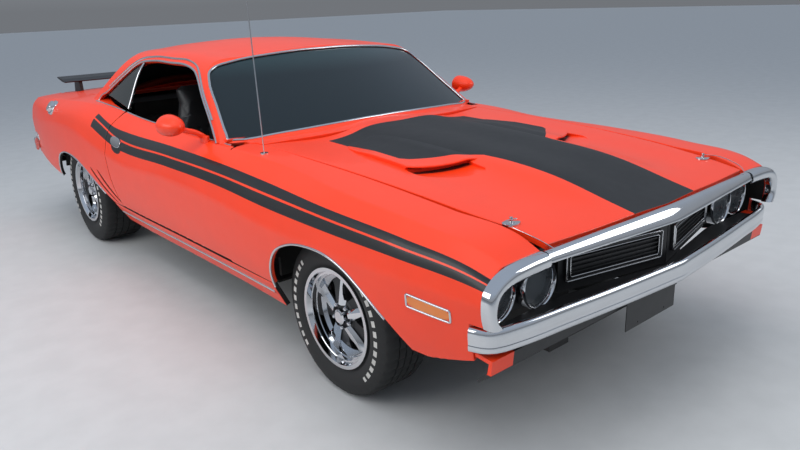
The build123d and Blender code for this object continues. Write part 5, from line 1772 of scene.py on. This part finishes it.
@dataclass
class Wheel:
    """A tyre with tread and white sidewall bars, and the lug nuts.

    Attributes:
        name: which wheel.
        centre: its middle.
        width: the tyre's width.
        radius: the tyre's radius.
        face: how far the wheel's face lies outside its middle.
        bead: radius of the rim's edge.
        steps: pieces round the tyre.
        first_spoke: direction of one spoke, in degrees.
        groove: depth of the grooves between the ribs.
        notch: depth of the cuts across a rib.
    """

    name: str
    centre: tuple[float, float, float]
    width: float
    radius: float
    face: float
    bead: float = 0.2135
    steps: int = 210
    first_spoke: float = 90.0
    groove: float = 0.006
    notch: float = 0.005

    @property
    def sign(self) -> float:
        """1 on the left and -1 on the right."""
        return 1.0 if self.centre[0] > 0 else -1.0

    def tyre(self) -> bpy.types.Object:
        """The tyre, turned from its cross-section with tread blocks and bars added step by step."""
        half, wall = self.width / 2, self.radius - self.bead + 0.006
        seat = half - 0.020
        side = [(seat, 0.1905), (seat, self.bead), (half - 0.007, self.bead + 0.12 * wall),
                (half - 0.001, self.bead + 0.27 * wall), (half - 0.0004, self.bead + 0.36 * wall),
                (half, self.bead + 0.44 * wall), (half - 0.0012, self.bead + 0.52 * wall),
                (half - 0.004, self.bead + 0.62 * wall), (half - 0.014, self.radius - 0.014),
                (half - 0.022, self.radius - 0.006)]
        tread = []
        ribs = np.linspace(half - 0.034, -(half - 0.034), 6)
        for k, (a, b) in enumerate(zip(ribs, ribs[1:])):
            tread += [(a - 0.004, self.radius), (b + 0.004, self.radius)]
            if k < 4:
                tread += [(b + 0.003, self.radius - self.groove), (b - 0.003, self.radius - self.groove)]
        profile = side + tread + [(-a, r) for a, r in reversed(side)]
        mesh = lathe([(a * self.sign, r) for a, r in profile], self.steps, self.centre)
        m = len(profile)
        for index, vertex in enumerate(mesh.verts):
            k, step = index % m, index // m
            top = abs(profile[k][1] - self.radius) < 0.0075 and profile[k][1] > self.radius - 0.0065
            shift = 0 if profile[k][0] > 0 else 3
            if top and (step + shift + (k // 2) % 3) % 5 == 0:
                hub = np.array(self.centre)[1:]
                vertex[1:] = hub + (vertex[1:] - hub) * (1 - self.notch / self.radius)
        for index in range(len(mesh.faces)):
            step, k = divmod(index, m - 1)
            turned = (step + 0.5) / self.steps * 360
            if 4 <= k <= 5 and step % 5 < 3 and (abs(turned - 180) > 133 or abs(turned - 180) < 47):
                mesh.finish[index] = 1
        return single(mesh, f"tyre_{self.name}_tread", (RUBBER, WHITE_LETTER), f"wheel_{self.name}", 35,
                      node=f"tyre_{self.name}")

    def nuts(self) -> bpy.types.Object:
        """Five chrome lug nuts between the spokes."""
        made = []
        for index in range(5):
            angle = math.radians(36 + 72 * index + self.first_spoke)
            at_x = self.centre[0] + self.sign * self.face
            y, z = self.centre[1] + 0.050 * math.cos(angle), self.centre[2] + 0.050 * math.sin(angle)
            cap = ((0.012, 0.0095), (0.018, 0.006), (0.019, 0.0002))
            profile = [(-0.004, 0.0095), *((self.sign * a, r) for a, r in cap)]
            made.append(lathe(profile, 6, (at_x, y, z)))
        return single(joined(made), f"lug_nuts_{self.name}", (CHROME,), f"wheel_{self.name}", 30, 0.001)

    def rim_finish(self) -> PlacedFinish:
        """Chrome with black between the spokes."""
        x, y, z = (abs(self.centre[0]), self.centre[1], self.centre[2])

        def mask(graph: Graph) -> Signal:
            """1 between the spokes."""
            ax, ay, az = graph.axes()
            depth = ax.magnitude() - x
            radius = ((ay - y) * (ay - y) + (az - z) * (az - z)).root()
            dish = (self.face - 0.026) + (0.153 - radius) * (0.020 / 0.085)
            return (depth < dish + 0.0055) * (radius < 0.1535) * (radius > 0.0335)
        return PlacedFinish(f"rim_chrome_{self.name}", CHROME, SATIN_BLACK, mask)

    def build(self) -> None:
        """Builds the tyre and nuts and dresses the rim."""
        self.tyre()
        self.nuts()
        rim = frame["nodes"][f"rim_{self.name}"]
        rim.data.materials.clear()
        rim.data.materials.append(self.rim_finish().material())


def wheels() -> list[Wheel]:
    """The four wheels."""
    made = []
    for side in Side:
        word = side.word
        made.append(Wheel(f"front_{word}", (0.742 * side.value, at(0.0), 0.325), 0.238, 0.325, 0.065))
        made.append(Wheel(f"rear_{word}", (0.758 * side.value, at(2.794), 0.347), 0.280, 0.347, 0.086))
    return made


PRESSURE = 4.0
FRAMES = 20


def blown_up(piece: bpy.types.Object, voxel: float, cap: float) -> None:
    """Stuffs a closed form by cloth pressure and keeps the result.

    Args:
        piece: the object.
        voxel: size of the cloth's mesh.
        cap: how far any point may move.
    """
    scene = bpy.context.scene
    remesh = piece.modifiers.new("even", "REMESH")
    remesh.mode, remesh.voxel_size = "VOXEL", voxel
    piece.data = bpy.data.meshes.new_from_object(piece.evaluated_get(bpy.context.evaluated_depsgraph_get()))
    piece.modifiers.clear()
    cloth = piece.modifiers.new("cloth", "CLOTH")
    cloth.settings.use_pressure, cloth.settings.uniform_pressure_force = True, PRESSURE
    cloth.settings.effector_weights.gravity = 0.0
    cloth.settings.quality = 3
    cloth.point_cache.frame_start, cloth.point_cache.frame_end = 1, FRAMES
    for number in range(1, FRAMES + 1):
        scene.frame_set(number)
    before = coords(piece.data)
    move = coords(piece.evaluated_get(bpy.context.evaluated_depsgraph_get()).data) - before
    size = np.linalg.norm(move, axis=1, keepdims=True)
    piece.modifiers.clear()
    scene.frame_set(1)
    put_coords(piece.data, before + move * np.minimum(1, cap / np.maximum(size, 1e-9)))


@dataclass
class Seats:
    """Stuffed bucket seats and rear bench with sewn pleats.

    Attributes:
        x: middle of the left front seat.
        half: half its width.
        front: station of the front seats' front edge.
        pleat: distance between two pleats.
        groove: depth and half width of a pleat.
        fine: size of a front seat's mesh, and of the rear back's.
        coarse: size of the rear cushion's mesh.
        bulge: how far the stuffing may push any point.
    """

    x: float = 0.425
    half: float = 0.222
    front: float = 1.290
    pleat: float = 0.052
    groove: float = 0.007
    fine: float = 0.006
    coarse: float = 0.008
    bulge: float = 0.022

    def pad(self, name: str, rows: Points, x: float, axis: str) -> bpy.types.Object:
        """A stuffed pad from cross-sections.

        Args:
            name: the piece's name.
            rows: place along the axis, then half width, middle and half depth across it, in metres.
            x: its middle.
            axis: Z for an upright pad, whose depth is along the car, or Y for a level one.

        Returns:
            The pad.
        """
        loops = []
        turns = np.linspace(0, 2 * math.pi, 40, endpoint=False)
        for place, half, middle, depth in rows:
            c, s = np.cos(turns), np.sin(turns)
            wide = x + half * np.sign(c) * np.abs(c) ** 0.5
            deep = middle + depth * np.sign(s) * np.abs(s) ** 0.6
            along = np.full(40, place)
            loops.append(np.column_stack([wide, at(deep), along] if axis == "Z" else [wide, at(along), deep]))
        piece = loft(loops).object(name, (VINYL,))
        finish_edges(piece)
        blown_up(piece, self.fine if axis == "Z" or x else self.coarse, self.bulge)
        points, normal = coords(piece.data), coords(piece.data, "normal")
        off = points[:, 0] - x
        near = (off / self.pleat - np.round(off / self.pleat)) * self.pleat
        facing = normal[:, 2] > 0.5 if axis == "Y" else normal[:, 1] < -0.5
        place = points[:, 2] if axis == "Z" else points[:, 1] + AXLE_TO_ORIGIN
        low, high = rows[0][0] + 0.07, rows[-1][0] - (0.25 if axis == "Z" else 0.06)
        field = (np.abs(off) < rows[2][1] - 0.035) & (place > low) & (place < high) & facing
        groove = np.exp(-(near / self.groove) ** 2) * self.groove * field
        put_coords(piece.data, points - normal * groove[:, None])
        smooth(piece.data)
        return piece

    def other(self, piece: bpy.types.Object, name: str) -> bpy.types.Object:
        """The mirror image of a pad."""
        made = bpy.data.objects.new(name, piece.data.copy())
        put_coords(made.data, coords(made.data) * (-1, 1, 1))
        made.data.flip_normals()
        bpy.context.scene.collection.objects.link(made)
        return made

    def build(self) -> None:
        """Builds every seat, the left ones first and their mirror images after."""
        s = self.front
        cushion = [(s - 0.010, 0.17, 0.395, 0.020), (s + 0.01, self.half - 0.01, 0.392, 0.048),
                   (s + 0.12, self.half, 0.385, 0.055), (s + 0.30, self.half, 0.377, 0.048),
                   (s + 0.48, self.half - 0.01, 0.368, 0.036), (s + 0.50, 0.18, 0.368, 0.015)]
        back = [(0.345, 0.17, s + 0.515, 0.030), (0.375, self.half - 0.01, s + 0.520, 0.065),
                (0.55, self.half, s + 0.555, 0.066), (0.74, self.half - 0.004, s + 0.590, 0.058),
                (0.84, 0.195, s + 0.607, 0.052), (0.90, 0.150, s + 0.622, 0.048),
                (0.98, 0.127, s + 0.634, 0.042), (1.055, 0.115, s + 0.648, 0.034),
                (1.075, 0.080, s + 0.652, 0.015)]
        bench = [(2.090, 0.50, 0.365, 0.020), (2.110, 0.535, 0.365, 0.060), (2.25, 0.54, 0.36, 0.068),
                 (2.42, 0.54, 0.35, 0.060), (2.50, 0.50, 0.35, 0.030)]
        rest = [(0.395, 0.48, 2.500, 0.030), (0.43, 0.53, 2.505, 0.055), (0.62, 0.535, 2.555, 0.055),
                (0.80, 0.53, 2.600, 0.045), (0.835, 0.48, 2.610, 0.020)]
        for name, rows, axis in (("seat_cushion", cushion, "Y"), ("seat_back", back, "Z")):
            left = self.pad(f"{name}_left", rows, self.x, axis)
            for piece in (left, self.other(left, f"{name}_right")):
                self.declare(piece, "front_seats")
        for name, rows, axis in (("rear_cushion", bench, "Y"), ("rear_back", rest, "Z")):
            self.declare(self.pad(name, rows, 0.0, axis), "rear_seat")
        path = [(self.x - self.half + 0.004, at(s + z * 0.24 + 0.392), z) for z in (0.42, 0.55, 0.68, 0.76)]
        pair(tube(through(path, 5), 0.004), "seat_trim_inner", (STAINLESS,), "chassis", Slot.BRIGHT)

    def declare(self, piece: bpy.types.Object, node: str) -> None:
        """Hides the frame's node that a pad stands for and fixes the pad to the chassis."""
        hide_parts(node)
        fix(piece, "chassis")


def antenna_base() -> None:
    """The black foot of the aerial on the right fender."""
    foot = lathe([(-0.004, 0.0002), (-0.004, 0.020), (0.004, 0.019), (0.010, 0.010), (0.020, 0.006),
                  (0.026, 0.004)], 24, (0.0, 0.0, 0.0), "X")
    foot.verts = [np.array((-0.790 + p[1], at(0.590) + p[2], 0.866 + p[0])) for p in foot.verts]
    single(foot, "antenna_foot", (SATIN_BLACK,), "chassis")


def tail_frames() -> None:
    """Bright frames and bars on the tail lamps."""
    parts = []
    up = (0.0, 1.0, 0.0)
    for x0, x1, z0, z1 in ((0.152, 0.748, 0.682, 0.808), (0.172, 0.728, 0.700, 0.790)):
        flat = box_loop(x0, x1, z0, z1, 0.03)
        path = np.column_stack([flat[:, 0], np.full(len(flat), at(3.822)), flat[:, 1]])
        parts.append(sweep(path, np.tile(up, (len(path), 1)), half_round(0.008, 0.004, 4), closed=True))
    for x in (0.30, 0.45, 0.60):
        path = np.array([(x, at(3.822), z) for z in (0.702, 0.745, 0.788)])
        parts.append(sweep(path, np.tile(up, (3, 1)), half_round(0.005, 0.003, 4)))
    pair(joined(parts), "tail_lamp_frame", (CHROME,), "chassis", Slot.BRIGHT)


# Camera, floor and lights


@dataclass(frozen=True)
class Studio:
    """Camera, floor and soft lights.

    Attributes:
        eye: the camera's place.
        yaw: how far it looks to the car's left of straight back, in degrees.
        pitch: how far it looks down.
        roll: how far it is tilted.
        lens: focal length in millimetres on a 36 mm wide sensor.
    """

    eye: tuple[float, float, float] = (-2.27437, -3.54618, 1.50875)
    yaw: float = 40.290
    pitch: float = 17.7785
    roll: float = -2.063
    lens: float = 704.55 / 800 * 36

    def camera(self) -> bpy.types.Object:
        """Places the camera of the photograph."""
        yaw, pitch, roll = (math.radians(v) for v in (self.yaw, self.pitch, self.roll))
        look = Vector((math.sin(yaw) * math.cos(pitch), math.cos(yaw) * math.cos(pitch), -math.sin(pitch)))
        right = look.cross(Vector((0, 0, 1))).normalized()
        up = right.cross(look)
        side = right * math.cos(roll) + up * math.sin(roll)
        top = up * math.cos(roll) - right * math.sin(roll)
        data = bpy.data.cameras.new("camera")
        data.lens, data.sensor_width, data.sensor_fit = self.lens, 36.0, "HORIZONTAL"
        made = bpy.data.objects.new("camera", data)
        made.matrix_world = Matrix.Translation(self.eye) @ Matrix((side, top, -look)).transposed().to_4x4()
        bpy.context.scene.collection.objects.link(made)
        bpy.context.scene.camera = made
        return made

    def floor(self) -> bpy.types.Object:
        """The pale floor."""
        mesh = slab([(-60, -60), (60, -60), (60, 60), (-60, 60)], -0.02, 0.0, "Z")
        made = mesh.object("floor", (FLOOR_PALE,))
        finish_edges(made)
        return made

    def lamp(self, name: str, place: Sequence[float], aim: Sequence[float], size: tuple[float, float], power: float,
             mirrored: bool = True) -> None:
        """Adds a soft box.

        Args:
            name: the lamp's name.
            place: where it is.
            aim: the point it faces.
            size: its width and height.
            power: its watts.
            mirrored: False keeps it out of reflections.
        """
        data = bpy.data.lights.new(name, "AREA")
        data.shape, data.size, data.size_y, data.energy = "RECTANGLE", size[0], size[1], power
        made = bpy.data.objects.new(name, data)
        made.location = place
        made.rotation_euler = (Vector(aim) - Vector(place)).to_track_quat("-Z", "Y").to_euler()
        made.visible_glossy = mirrored
        bpy.context.scene.collection.objects.link(made)

    def world(self) -> None:
        """A soft sky, brighter overhead."""
        world = bpy.data.worlds.new("studio")
        world.use_nodes = True
        tree = world.node_tree
        background = tree.nodes["Background"]
        coord = tree.nodes.new("ShaderNodeTexCoord")
        split = tree.nodes.new("ShaderNodeSeparateXYZ")
        ramp = tree.nodes.new("ShaderNodeValToRGB")
        tree.links.new(coord.outputs["Generated"], split.inputs[0])
        tree.links.new(split.outputs[2], ramp.inputs[0])
        tree.links.new(ramp.outputs[0], background.inputs[0])
        low, high = ramp.color_ramp.elements
        low.position, low.color = 0.0, (0.30, 0.32, 0.35, 1)
        high.position, high.color = 0.6, (0.70, 0.82, 1.00, 1)
        middle = ramp.color_ramp.elements.new(0.12)
        middle.color = (0.56, 0.60, 0.66, 1)
        background.inputs[1].default_value = 0.55
        bpy.context.scene.world = world

    def build(self) -> None:
        """Sets up the whole studio."""
        self.camera()
        self.floor()
        self.world()
        self.lamp("overhead", (-1.5, -1.0, 5.5), (0, 0, 0.6), (5.0, 7.0), 230, False)
        self.lamp("front_left", (4.5, -5.5, 4.0), (0, -0.8, 0.6), (3.0, 3.0), 95)
        self.lamp("right_side", (-6.0, 0.5, 3.2), (0, 0, 0.6), (5.0, 2.5), 110)
        bpy.context.scene.view_settings.view_transform = "Standard"


# Finishes of the frame's own nodes


def bowl_mask(graph: Graph) -> Signal:
    """1 on the plate round the head lamps."""
    x, _, z = graph.axes()
    up = (z - 0.632) * (z - 0.632)
    inner, outer = x.magnitude() - 0.605, x.magnitude() - 0.785
    return ((inner * inner + up).root() > 0.0845) * ((outer * outer + up).root() > 0.0845)


LAMP_BOWLS = PlacedFinish("lamp_bowls", CHROME, SATIN_BLACK, bowl_mask)
# The valance is body-coloured: the satin black on its upper part is painted shade, with orange left only at the lit
# upper outer corners.
VALANCE_WITH_PAINTED_SHADE = PlacedFinish("valance_paint", SATIN_BLACK, ORANGE,
                       lambda g: (g.axes()[0].magnitude() > 0.80) * (g.axes()[2] > 0.443))
STRUCTURE = PlacedFinish("structure_paint", UNDERBODY, ORANGE,
                         lambda g: (g.axes()[2] > 0.86) * (g.axes()[1] > at(0.590)) * (g.axes()[1] < at(0.95)))
NODE_FINISH: dict[str, Look] = {
    "front_structure": STRUCTURE, "floor_pan": UNDERBODY, "tail_panel": SATIN_BLACK, "rear_wing": SATIN_BLACK,
    "rockers": ORANGE, "grille": SATIN_BLACK, "headlamps": LAMP_BOWLS, "headlamp_lenses": LAMP_GLASS,
    "front_valance": VALANCE_WITH_PAINTED_SHADE, "tail_lamps": RED_LENS, "antenna": STAINLESS,
    "dashboard": DASH_BLACK, "steering_wheel": SATIN_BLACK, "engine": IRON, "exhaust": STEEL,
    "fuel_tank": STEEL, "front_suspension": IRON, "rear_axle": IRON, "leaf_springs": IRON,
    "knuckle_left": IRON, "knuckle_right": IRON,
}


def dress_nodes() -> None:
    """Gives every node that stays its finish."""
    for name, finish in NODE_FINISH.items():
        node = frame["nodes"][name]
        node.data.materials.clear()
        node.data.materials.append(finish.material())


def main() -> None:
    """Builds the car and its studio."""
    logging.basicConfig(level=logging.INFO, format="%(message)s")
    Studio().build()
    dress_nodes()
    BodySide().build()
    Greenhouse().build()
    for lid in (hood(), decklid(), cowl(), deck_filler()):
        lid.build()
    Nose().build()
    tail_frames()
    antenna_base()
    Seats().build()
    for wheel in wheels():
        wheel.build()
    for piece in bpy.context.scene.objects:
        if piece.type == "MESH":
            LOG.info("%s: %d faces", piece.name, len(piece.data.polygons))
    bpy.context.view_layer.update()


if __name__ == "__main__":
    main()
